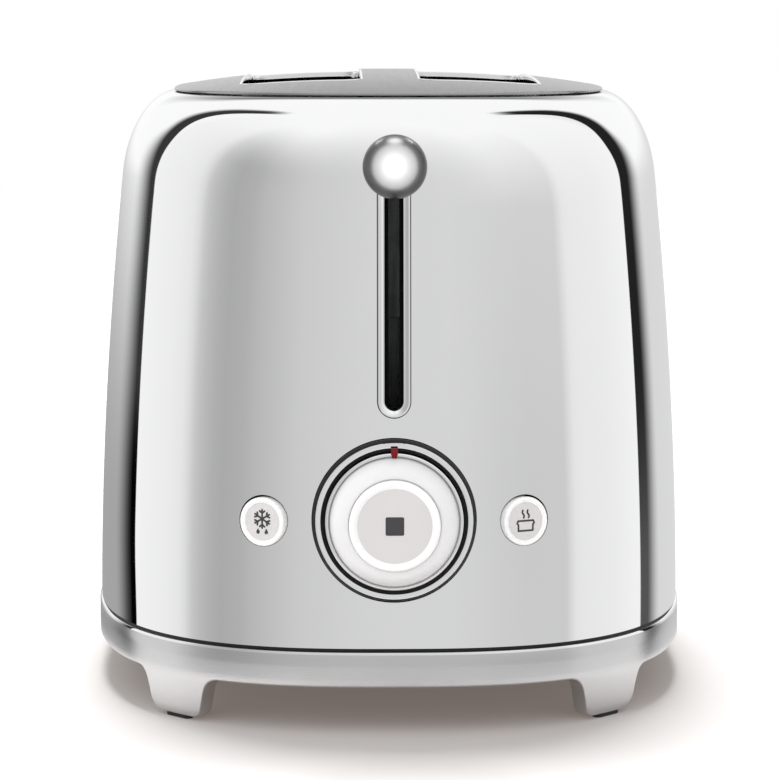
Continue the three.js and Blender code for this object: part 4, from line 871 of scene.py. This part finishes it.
def makeIndex():
    low, high = boxOf("dial_index")
    front, taper, waist = (bezelFront - dial["skirtProud"] - index["proud"], index["taper"],
                           low.z + index["waist"])
    outline = [(low.x + taper, low.z), (high.x - taper, low.z), (high.x, waist)]
    outline += [(high.x, high.z), (low.x, high.z), (low.x, waist)]
    piece = prism("dialIndex", outline, front, high.y)
    addBevel(piece, index["softness"], 3)
    keep(smoothShade(applyModifiers(piece), 50), "red", "dial", "dial_index")


def makeKey(name, faceName, form, front, place, splay, body, replaced):  # a disc in a round rim, on a stem
    disc, back, end = (front + form[name] for name in ("rimRise", "thickness", "length"))
    edge, r, inner = form["radius"], form["edge"], form["radius"] - form["rim"]
    dish = inner - form["dish"]
    outline = [(0.0, disc), (dish, disc), (dish + 0.3, disc - 0.08), (inner, front + 0.1),
               (inner + r / 3, front)]
    outline += arcPoints((edge - r, front + r), (r, r), -90, 0, form["steps"])
    outline += [(edge, back), (form["stem"], back), (form["stem"], end), (0.0, end)]
    keepTurned(name, outline, place, "white_gloss", body, replaced,
               splay=splay, segments=form["segments"], angle=35)
    face = disc - 0.06
    cover = [(0.0, face), (dish + 0.05, face), (dish + 0.1, disc + 0.1), (0.0, disc + 0.1)]
    keepTurned(faceName, cover, place, "white_gloss", body,
               look=buttonDisc, splay=splay, segments=form["segments"] * 3 // 4, angle=35)
    return face


makeBezel()
makeDial()
stopFront = bezelFront - dial["domeProud"] - stop["proud"]
stopFace = makeKey("stopButton", "stopFace", stop, stopFront, dialCentre, 0.0, "stop", "stop_button")
makeIndex()
print("dial group made")

# Side buttons, each facing outwards by its splay, and the marks on all three

button = {"radius": buttonSpot["diameter"] / 2, "proud": 1.1, "rim": 1.0, "rimRise": 0.6, "dish": 0.7,
          "edge": 0.75, "thickness": 5.0, "stem": 2.5, "length": 17.9, "steps": 7, "segments": 96}
mark = {"proud": 0.05, "line": 0.56, "arm": 2.8, "fork": 0.62, "barb": 1.05, "barbTurn": 0.9, "lift": 0.9,
        "drop": 0.55, "dropApart": 1.4, "dropGap": 1.3, "dropTip": 2.1, "waveApart": 0.85,
        "waveSwing": 0.32, "waveLow": 0.9, "waveRise": 2.6, "square": 5.6, "squareCorner": 0.5, "step": 0.004,
        "bread": [(-2.5, -2.9), (2.5, -2.9), (2.5, -1.1), (2.95, -0.6), (2.6, 0.15), (-2.6, 0.15),
                  (-2.95, -0.6), (-2.5, -1.1)]}


def capsule(ax, az, bx, bz, width, steps=8):  # outline of a stroke with round ends, mm
    lean, r = math.atan2(bz - az, bx - ax), width / 2
    turns = [lean + math.pi / 2 + math.pi * k / steps for k in range(steps + 1)]
    return ([(ax + r * math.cos(t), az + r * math.sin(t)) for t in turns]
            + [(bx - r * math.cos(t), bz - r * math.sin(t)) for t in turns])


def ribbonOutline(line, width):  # outline of a wavy stroke, mm
    sides = ([], [])
    for i, (x, z) in enumerate(line):
        (xa, za), (xb, zb) = line[max(0, i - 1)], line[min(len(line) - 1, i + 1)]
        size = math.hypot(xb - xa, zb - za)
        nx, nz = -(zb - za) / size * width / 2, (xb - xa) / size * width / 2
        sides[0].append((x + nx, z + nz))
        sides[1].append((x - nx, z - nz))
    return sides[0] + sides[1][::-1]


def makeMark(name, strokes, spot, splay, face, moving):
    # no two strokes share a plane, so the union keeps them all
    parts = [prism(name, stroke, face - mark["proud"] - k * mark["step"], face + 0.1 + k * mark["step"],
                   spot, splay) for k, stroke in enumerate(strokes)]
    piece = cutWith(parts[0], *parts[1:], how="UNION") if len(parts) > 1 else parts[0]
    keep(piece, "black_plastic", moving, look=buttonMark)


def thawStrokes():  # six plain arms, each with one pair of barbs, over two drops
    m, strokes = mark, []

    def stroke(x, z, size, a):
        strokes.append(capsule(x, z, x + size * math.cos(a), z + size * math.sin(a), m["line"]))

    for k in range(6):
        a, fork = math.pi * (k / 3 + 1 / 6), m["fork"] * m["arm"]
        stroke(0, m["lift"], m["arm"], a)
        for turn in (-m["barbTurn"], m["barbTurn"]):
            stroke(fork * math.cos(a), m["lift"] + fork * math.sin(a), m["barb"], a + turn)
    r, z = m["drop"], m["lift"] - m["arm"] - m["dropGap"]
    for x in (-m["dropApart"], m["dropApart"]):
        strokes.append(arcPoints((x, z), (r, r), 150, 390, 14) + [(x, z + m["dropTip"] * r)])
    return strokes


def warmStrokes():  # two rising waves over a slice of bread
    m, strokes = mark, []
    for x in (-m["waveApart"], m["waveApart"]):
        line = [(x + m["waveSwing"] * math.sin(math.pi * 2 * t), m["waveLow"] + m["waveRise"] * t)
                for t in np.linspace(0, 1, 18)]
        strokes.append(ribbonOutline(line, m["line"]))
    return strokes + [capsule(*a, *b, m["line"]) for a, b in zip(m["bread"], m["bread"][1:] + m["bread"][:1])]


for key, side in (("defrost", -1), ("reheat", 1)):
    buttonFace = makeKey(key + "Button", key + "ButtonFace", button, -button["proud"], *buttonPlace(side),
                         key, key + "_button")
makeMark("thawMark", thawStrokes(), *buttonPlace(-1), buttonFace, "defrost")
makeMark("warmMark", warmStrokes(), *buttonPlace(1), buttonFace, "reheat")
square = roundedBox(mark["square"], mark["square"], mark["squareCorner"], 6)
makeMark("stopMark", [square], dialCentre, 0.0, stopFace, "stop")
print("side buttons made")

# Lever ball and the trim of its slot

lever = {"ballDiameter": 19.2, "neckRadius": 3.75, "neckEdge": 0.3, "boreRadius": 2.3, "boreDepth": 4.7,
         "lift": 0.45}


def makeBall():
    low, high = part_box("lever_ball")
    radius, neck, bore = lever["ballDiameter"] / 2, lever["neckRadius"], lever["boreRadius"]
    centre = Vector((0, low.y + radius * mm, (low.z + high.z) / 2 + lever["lift"] * mm))
    meet, end = math.degrees(math.asin(neck / radius)), (high.y - centre.y) / mm
    outline = [(0.0, -radius)] + arcPoints((0.0, 0.0), (radius, radius), -88.5, 90 - meet, 72)
    outline += [(neck, end - lever["neckEdge"]), (neck - lever["neckEdge"], end), (bore, end)]
    outline += [(bore, end - lever["boreDepth"]), (0.0, end - lever["boreDepth"])]
    piece = keepTurned("leverBall", outline, centre, "polished", "carriage", "lever_ball",
                       look=ballFinish, segments=144, angle=25)
    piece.visible_glossy = False  # as in the photo, the shell doesn't mirror the ball


def sweptRound(name, path, section):  # (inwards, depth) in mm, carried round an outline on the shell
    points = [onShell(x, z, depth) for inwards, depth in section for x, z in widened(path, -inwards)]
    return smoothShade(ringPiece(name, points, len(path)), 30)


def makeTrim():
    s = leverSlot
    path = finer(stadium(s["trimWidth"], s["high"] - s["low"], (s["low"] + s["high"]) / 2, 32), 2.5)
    wall = (s["trimWidth"] - s["width"]) / 2
    front, r, slope = -s["gap"] - s["proud"], s["edge"], math.tan(math.radians(s["dish"]))
    section = [(0.0, -s["gap"] + 0.2), (0.0, front + r)]
    section += [(r - r * math.cos(a), front + r - r * math.sin(a))
                for a in np.linspace(0, math.pi / 2, 6)[1:]]
    section += [(r + 0.1, front + 0.02), (wall - 0.25, front + (wall - r - 0.3) * slope)]
    section += [(wall - 0.05, front + (wall - r) * slope + 0.1), (wall, front + (wall - r) * slope + 0.4)]
    section += [(wall, s["depth"]), (wall - 1.0, s["depth"]), (wall - 1.0, 0.0)]
    keep(sweptRound("leverSlotTrim", path, section), "polished", "housing", "lever_slot_trim")
    # a black ring round the trim, painted shade of the gap between trim and shell
    shadeRing = [(-s["shadeRing"], 0.1), (-s["shadeRing"], -0.12), (0.15, -0.12), (0.15, 0.1)]
    keep(sweptRound("slotTrimSeal", path, shadeRing), "black_plastic", "housing")


makeBall()
makeTrim()
print("lever made")

# Pieces that repeat or follow a line, grown by geometry nodes

pads = {"width": 11.0, "depth": 3.4, "height": 2.2, "softness": 0.35}
screws = {"head": 6.4, "headHeight": 1.8, "shank": 3.2, "slotLong": 3.6, "slotWide": 0.8, "slotDeep": 1.1}
guards = {"wire": 1.6, "bend": 2.0, "count": 4, "flare": 3.0, "flareHeight": 7.0, "endGap": 12.85,
          "headGap": 0.3}
ribbons = {"width": 1.6, "thickness": 0.5, "bend": 1.5, "runs": 6}
corners = [(side, end) for end in (-1, 1) for side in (-1, 1)]
cornerNames = [f"{'front' if end < 0 else 'rear'}_{'left' if side < 0 else 'right'}" for side, end in corners]


def filleted(recipe, curve, radius, count=5):
    return recipe.add("GeometryNodeFilletCurve", {"Curve": curve, "Radius": radius, "Count": count},
                      mode="POLY")


def facingSide(recipe, curve):  # a flat section carried along it then faces X
    return recipe.add("GeometryNodeSetCurveNormal", {"Curve": curve, "Normal": (1.0, 0.0, 0.0)}, mode="FREE")


def oblong(recipe, width, height):
    sides = {"Width": width * mm, "Height": height * mm}
    return recipe.add("GeometryNodeCurvePrimitiveQuadrilateral", sides)


def swept(recipe, curve, section):
    return recipe.add("GeometryNodeCurveToMesh",
                      {"Curve": curve, "Profile Curve": section, "Fill Caps": True})


def wireTree(sizes):  # round wire along lines, with rounded bends
    recipe, size = newTree("wireForm", sizes)
    path = recipe.add("GeometryNodeMeshToCurve", {"Mesh": size["Geometry"]})
    ring = recipe.add("GeometryNodeCurvePrimitiveCircle",
                      {"Resolution": 14, "Radius": size["wire"] * (mm / 2)})
    return endTree(recipe, swept(recipe, filleted(recipe, path, size["bend"] * mm), ring), looks["steel"])


def makeGuards():
    g = guards
    sizes, r = {"wire": g["wire"], "bend": g["bend"]}, g["wire"] / 2
    tree = wireTree(sizes)
    for slot, slotName in ((-1, "left"), (1, "right")):
        for side in (-1, 1):
            where = f"{slotName}_{'outer' if side == slot else 'inner'}"
            low, high = boxOf("bread_guard_" + where)
            x = low.x + r if side > 0 else high.x - r
            bottom, top = low.z + r, high.z - g["flareHeight"] - g["headGap"]
            points, edges = [], []
            for z in (bottom, top):
                edges.append((len(points), len(points) + 1))
                points += [(x, low.y, z), (x, high.y, z)]
            for y in np.linspace(low.y + g["endGap"], high.y - g["endGap"], g["count"]):
                edges += [(len(points), len(points) + 1), (len(points) + 1, len(points) + 2)]
                points += [(x, y, bottom), (x, y, top), (x + side * g["flare"], y, top + g["flareHeight"])]
            name = "breadGuard" + where.title().replace("_", "")
            piece = growFrom(tree, name, sizes, [Vector(p) * mm for p in points], edges)
            keep(smoothShade(piece, 50), "steel", "guard_" + where, "bread_guard_" + where)


def makeRibbons():  # each ribbon winds up its card in level runs
    sizes = {name: ribbons[name] for name in ("width", "thickness", "bend")}
    recipe, size = newTree("heatingRibbons", sizes)
    path = recipe.add("GeometryNodeMeshToCurve", {"Mesh": size["Geometry"]})
    flat = facingSide(recipe, filleted(recipe, path, size["bend"] * mm))
    solid = swept(recipe, flat, oblong(recipe, size["thickness"], size["width"]))
    tree = endTree(recipe, solid, looks["heating_ribbon"])
    names = ["heating_ribbon_" + place for place in ("left", "middle_left", "middle_right", "right")]
    points, edges, half = [], [], ribbons["width"] / 2
    for name in names:
        low, high = boxOf(name)
        ends = (low.y + half, high.y - half)
        for run, z in enumerate(np.linspace(low.z + half, high.z - half, ribbons["runs"])):
            for k in (run % 2, 1 - run % 2):
                if run or k:
                    edges.append((len(points) - 1, len(points)))
                points.append(((low.x + high.x) / 2, ends[k], z))
    piece = growFrom(tree, "heatingRibbons", sizes, [Vector(p) * mm for p in points], edges)
    keep(smoothShade(piece, 30), "heating_ribbon", "housing", *names)


def makePads():  # one rubber pad under each foot, turned with the skirt's outline
    sizes = {name: pads[name] for name in ("width", "depth", "height")}
    recipe, size = newTree("footPads", sizes)
    side = recipe.add("GeometryNodeInputMeshEdgeVertices")
    ends = {0: side.out("Position 2"), 1: side.out("Position 1")}
    stored = {"Geometry": size["Geometry"], "Name": "way",
              "Value": recipe.add("ShaderNodeVectorMath", ends, operation="SUBTRACT")}
    named = recipe.add("GeometryNodeStoreNamedAttribute", stored, data_type="FLOAT_VECTOR", domain="EDGE")
    spots = recipe.add("GeometryNodeMeshToPoints", {"Mesh": named}, mode="EDGES")
    read = recipe.add("GeometryNodeInputNamedAttribute", {"Name": "way"}, data_type="FLOAT_VECTOR")
    turned = recipe.add("FunctionNodeAlignRotationToVector", {"Vector": read}, axis="X", pivot_axis="Z")
    rounded = filleted(recipe, oblong(recipe, size["width"], size["depth"]), size["depth"] * (mm * 0.49), 8)
    top = recipe.add("ShaderNodeCombineXYZ", {2: size["height"] * mm})
    upright = facingSide(recipe, recipe.add("GeometryNodeCurvePrimitiveLine", {"End": top}))
    placing = {"Points": spots, "Instance": swept(recipe, upright, rounded), "Rotation": turned}
    tree = endTree(recipe, recipe.add("GeometryNodeInstanceOnPoints", placing), looks["pad_rubber"])
    points, edges, halves = [], [], (body["halfWidth"], body["halfLength"])
    inset, x, power = (skirt["wall"] + skirt["setback"]) / 2, skirt["footSpacing"] / 2, body["planPower"] - 1
    y = planReach(x, *halves)
    for side, end in corners:
        out = Vector((side * (x / halves[0]) ** power / halves[0],
                      end * (y / halves[1]) ** power / halves[1], 0))
        out.normalize()
        spot, along = Vector((side * x, end * y + middle, 0)) - out * inset, Vector((-out.y, out.x, 0))
        edges.append((len(points), len(points) + 1))
        points += [(spot - along) * mm, (spot + along) * mm]
    piece = growFrom(tree, "footPads", sizes, points, edges)
    addBevel(piece, pads["softness"], 2, 40)
    keep(smoothShade(applyModifiers(piece), 40), "pad_rubber", "housing",
         *("foot_pad_" + name for name in cornerNames))


def makeScrews():  # pan heads with a cross, under the base pan
    s, names = screws, ["base_screw_" + name for name in cornerNames]
    boxes = [boxOf(name) for name in names]
    length, r, head, shank = boxes[0][1].z - boxes[0][0].z, s["headHeight"], s["head"] / 2, s["shank"] / 2
    outline = [(0.0, 0.0)] + arcPoints((head - r, r), (r, r), -90, 0, 9)
    outline += [(shank, r), (shank, length - shank / 2), (shank / 2, length), (0.0, length)]
    screw = turnedPiece("screwForm", outline, Vector((0, 0, 0)), segments=40)
    a, b = s["slotLong"] / 2, s["slotWide"] / 2
    cross = [(a, b), (b, b), (b, a), (-b, a), (-b, b), (-a, b),
             (-a, -b), (-b, -b), (-b, -a), (b, -a), (b, -b), (a, -b)]
    cutWith(screw, prism("crossTool", cross, -1.0, s["slotDeep"]))
    recipe, size = newTree("baseScrews", {"form": screw})
    form = recipe.add("GeometryNodeObjectInfo", {"Object": size["form"]}, output="Geometry")
    spots = recipe.add("GeometryNodeMeshToPoints", {"Mesh": size["Geometry"]})
    placing = {"Points": spots, "Instance": form, "Rotation": (math.pi / 2, 0.0, 0.0)}
    tree = endTree(recipe, recipe.add("GeometryNodeInstanceOnPoints", placing), looks["steel"])
    points = [Vector(((low.x + high.x) / 2, (low.y + high.y) / 2, low.z)) * mm for low, high in boxes]
    piece = growFrom(tree, "baseScrews", {"form": screw}, points)
    bpy.data.objects.remove(screw)
    keep(smoothShade(piece, 35), "steel", "housing", *names)


def softenNodes():  # CAD nodes that stay get the small broken edges of pressed and moulded parts
    for name, node in frame["nodes"].items():
        if name not in covered:
            node.modifiers.new("weld", "WELD").merge_threshold = 0.005 * mm
            addBevel(node, 0.15, 2, 40)


makeGuards()
makeRibbons()
makePads()
makeScrews()
softenNodes()
dress(frame["nodes"]["slot_shield"], slotShadow)
print("repeated pieces made")

# Studio: white backdrop, pale floor, and a procedural studio that only shines in reflections

studio = {  # angles in degrees as seen from the object, shades from 0 to 255
    "top": 248, "centreClimb": (30.0, 92.0), "leftClimb": (30.0, 78.0), "rightClimb": (-2.0, 72.0),
    "driftHeights": (18.0, 50.0), "fadeHeights": (2.0, 24.0), "stripTop": (58.0, 68.0), "stripFade": 1.8,
    "stripEdge": 0.7,
    "leftStrip": {"edge": -131.0, "drift": 8.0, "core": (4.0, 3.0), "fade": (17.0, -11.0),
                  "shades": (12, 56)},
    "rightStrip": {"edge": 124.9, "drift": 10.0, "core": (7.5, 1.5), "fade": (13.0, -8.0),
                   "shades": (84, 38)},
    "floorShade": 0.390, "floorGlow": (0.155, 0.128, 0.114, 1.0), "floorSeen": (0.045, 0.11),
    "floorSize": 3000, "skyPower": 1.9, "skySpread": 22.0, "skyFall": (0.03, -0.38, -1.0),
    "horizon": [(-180, 160), (-137, 160), (-134.5, 242), (-105, 235), (-95, 229), (-90, 217), (-85, 196),
                (-80, 185), (-72, 173), (-65, 168), (-53, 173), (-46, 181), (-35, 190), (-23, 200),
                (-10, 205), (0, 210), (11, 211), (31, 203), (45, 200), (67, 201), (70, 213), (74, 227),
                (80, 230), (100, 233), (126, 242), (131, 212), (180, 212)],
}

ballLamps = [  # name, kind, direction from the ball, half its angle seen from there, radiance
    ("frontGlowWide", "SUN", (-0.02, -1.0, 0.06), 88.0, 6.6),
    ("frontGlowMiddle", "SUN", (-0.02, -1.0, 0.06), 65.0, 2.4),
    ("frontGlowCore", "SUN", (-0.02, -1.0, 0.06), 45.0, 4.5),
    ("topBox", "AREA", (0.0, 0.31, 0.95), 15.0, 11.0),
    ("leftSpark", "AREA", (-0.39, 0.70, 0.60), 5.0, 11.0),
    ("rightSpark", "AREA", (0.39, 0.70, 0.60), 5.0, 11.0),
]


def makeWorld():
    s, world = studio, bpy.data.worlds.new("studio")
    bpy.context.scene.world = world
    world.use_nodes = True
    recipe = Recipe(world.node_tree)
    way = recipe.add("ShaderNodeSeparateXYZ", {0: recipe.add("ShaderNodeTexCoord", output="Generated")})
    x, y, z = way.out("X"), way.out("Y"), way.out("Z")
    azimuth = x.calc("ARCTAN2", x, -y) * (180 / math.pi)
    height = z.calc("ARCSINE", z) * (180 / math.pi)

    # shades round the horizon, brightening upwards
    stops = [((a + 180) / 360, v / 255) for a, v in s["horizon"]]
    level = recipe.add("ShaderNodeValToRGB", {0: (azimuth + 180) / 360}, stops=stops)
    toLeft, toRight = (-azimuth).ease(0.0, 50.0), azimuth.ease(0.0, 40.0)
    climb = (height.ease(*s["centreClimb"]) * (1 - toLeft) * (1 - toRight)
             + height.ease(*s["leftClimb"]) * toLeft)
    climb = climb + height.ease(*s["rightClimb"], "LINEAR") * toRight
    behindLeft, behindRight = (-azimuth).ease(128.0, 136.0), azimuth.ease(130.0, 140.0)
    climb = climb * (1 - behindLeft - behindRight)
    climb = climb + height.ease(-8.0, 4.0) * behindLeft + height.ease(-2.0, 8.0) * behindRight
    shade = level + (s["top"] / 255 - level) * climb

    # two dark strips at the sides, each with a crisp inner edge that fades outwards
    drift, narrow = height.ease(*s["driftHeights"]), height.ease(*s["fadeHeights"])
    under = 1 - height.ease(*s["stripTop"])

    def darkened(shade, past, strip, lift):
        (core, wider), (fade, longer), (low, high) = strip["core"], strip["fade"], strip["shades"]
        dimming = (1 - (past - core - narrow * wider).ease(0.0, fade + narrow * longer, "LINEAR"))
        dimming = dimming ** s["stripFade"]
        level = low / 255 + lift * ((high - low) / 255)
        return shade + (level - shade) * dimming * past.ease(0.0, s["stripEdge"]) * under

    left, right = s["leftStrip"], s["rightStrip"]
    past = left["edge"] - drift * left["drift"] - azimuth + (-height).ease(7.0, 10.0) * 1.6
    shade = darkened(shade, past, left, height.ease(-6.0, -3.0))
    past = azimuth - right["edge"] - drift * right["drift"]
    shade = darkened(shade, past, right, 1 - (-height).ease(2.0, 9.0))

    # pale far below, and darker low behind the object
    shade = shade + (0.95 - shade) * (-height).ease(24.0, 40.0)
    rear = abs(azimuth).ease(162.0, 175.0) * (1 - height.ease(26.0, 34.0))
    shade = shade * (1 - rear * height.ease(9.0, 24.0, "LINEAR") * 0.5)

    # mirrors see these shades, dull faces an even sky, and the camera white
    mirror = (shade ** 2.2) / shades["polish"][0][0]
    soft = 0.86 + z * 0.4 - x * 0.36 - y * 0.2
    rays = recipe.add("ShaderNodeLightPath")
    plain = soft + (mirror - soft) * rays.out("Is Glossy Ray")
    seen = plain + (1 - plain) * rays.out("Is Camera Ray")
    grey = recipe.add("ShaderNodeCombineColor", {0: seen, 1: seen, 2: seen})
    ground = recipe.add("ShaderNodeBackground", {"Color": grey, "Strength": 1.0})
    world.node_tree.links.new(ground.socket, world.node_tree.nodes["World Output"].inputs[0])


def floorLook():  # reflections see only the floor close to the object, and past it the studio
    material = bpy.data.materials.new("paleFloor")
    material.use_nodes = True
    recipe = Recipe(material.node_tree)
    grain, shade = recipe.noise(6.0, 2.0), studio["floorShade"]
    pair = [(level, level, level, 1.0) for level in (shade, shade * 0.995)]
    flat = recipe.add("ShaderNodeBsdfDiffuse", {"Color": recipe.mix(grain.ease(0.2, 0.8), *pair)})
    glow = recipe.add("ShaderNodeEmission", {"Color": studio["floorGlow"], "Strength": 1.0})
    lit = recipe.add("ShaderNodeAddShader", {0: flat, 1: glow})
    rays = recipe.add("ShaderNodeLightPath")
    spot, power = recipe.add("ShaderNodeSeparateXYZ", {0: recipe.place()}), body["planPower"]
    across = abs(spot.out("X")) / (body["halfWidth"] * mm)
    along = abs(spot.out("Y") - middle * mm) / (body["halfLength"] * mm)
    beside = (across ** power + along ** power).ease(0.9, 1.1)
    far = rays.out("Is Glossy Ray") * rays.out("Ray Length").ease(*studio["floorSeen"]) * beside
    both = recipe.add("ShaderNodeMixShader", {0: far, 1: lit, 2: recipe.add("ShaderNodeBsdfTransparent")})
    material.node_tree.links.new(both.socket, material.node_tree.nodes["Material Output"].inputs[0])
    return material


def lightOnly(lamp, *pieces):  # the lamp shines on these pieces alone
    group = bpy.data.collections.new(lamp.name + "On")
    for piece in pieces:
        group.objects.link(piece)
    lamp.light_linking.receiver_collection = group


def makeFloor():
    r = studio["floorSize"] * mm
    floor = pieceFrom("floor", [(-r, -r, 0), (r, -r, 0), (r, r, 0), (-r, r, 0)], [(0, 1, 2, 3)])
    dress(floor, floorLook())
    sky = bpy.data.lights.new("overheadSky", "SUN")
    sky.energy, sky.angle = studio["skyPower"] * math.pi, math.radians(studio["skySpread"])
    lamp = bpy.data.objects.new("overheadSky", sky)
    lamp.rotation_euler = Vector(studio["skyFall"]).to_track_quat("-Z", "Y").to_euler()
    bpy.context.scene.collection.objects.link(lamp)
    lightOnly(lamp, floor)


def makeBallLamps():  # soft boxes that only the lever's ball mirrors
    ball, distance = bpy.data.objects["leverBall"], 0.5
    low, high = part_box("lever_ball")
    centre = (low + high) / 2
    for name, kind, way, spread, glow in ballLamps:
        light, half = bpy.data.lights.new(name, kind), math.radians(spread)
        away = Vector(way).normalized()
        if kind == "SUN":
            light.angle, light.energy = 2 * half, glow * math.pi * math.sin(half) ** 2
        else:
            light.shape, light.size = "DISK", 2 * math.tan(half) * distance
            light.energy = glow * (math.pi * light.size / 2) ** 2
        lamp = bpy.data.objects.new(name, light)
        lamp.location = centre + away * distance
        lamp.rotation_euler = (-away).to_track_quat("-Z", "Y").to_euler()
        bpy.context.scene.collection.objects.link(lamp)
        lightOnly(lamp, ball)


makeWorld()
makeFloor()
makeBallLamps()
settings = bpy.context.scene.view_settings
settings.view_transform = "Standard"
print("studio made")

bpy.context.view_layer.update()
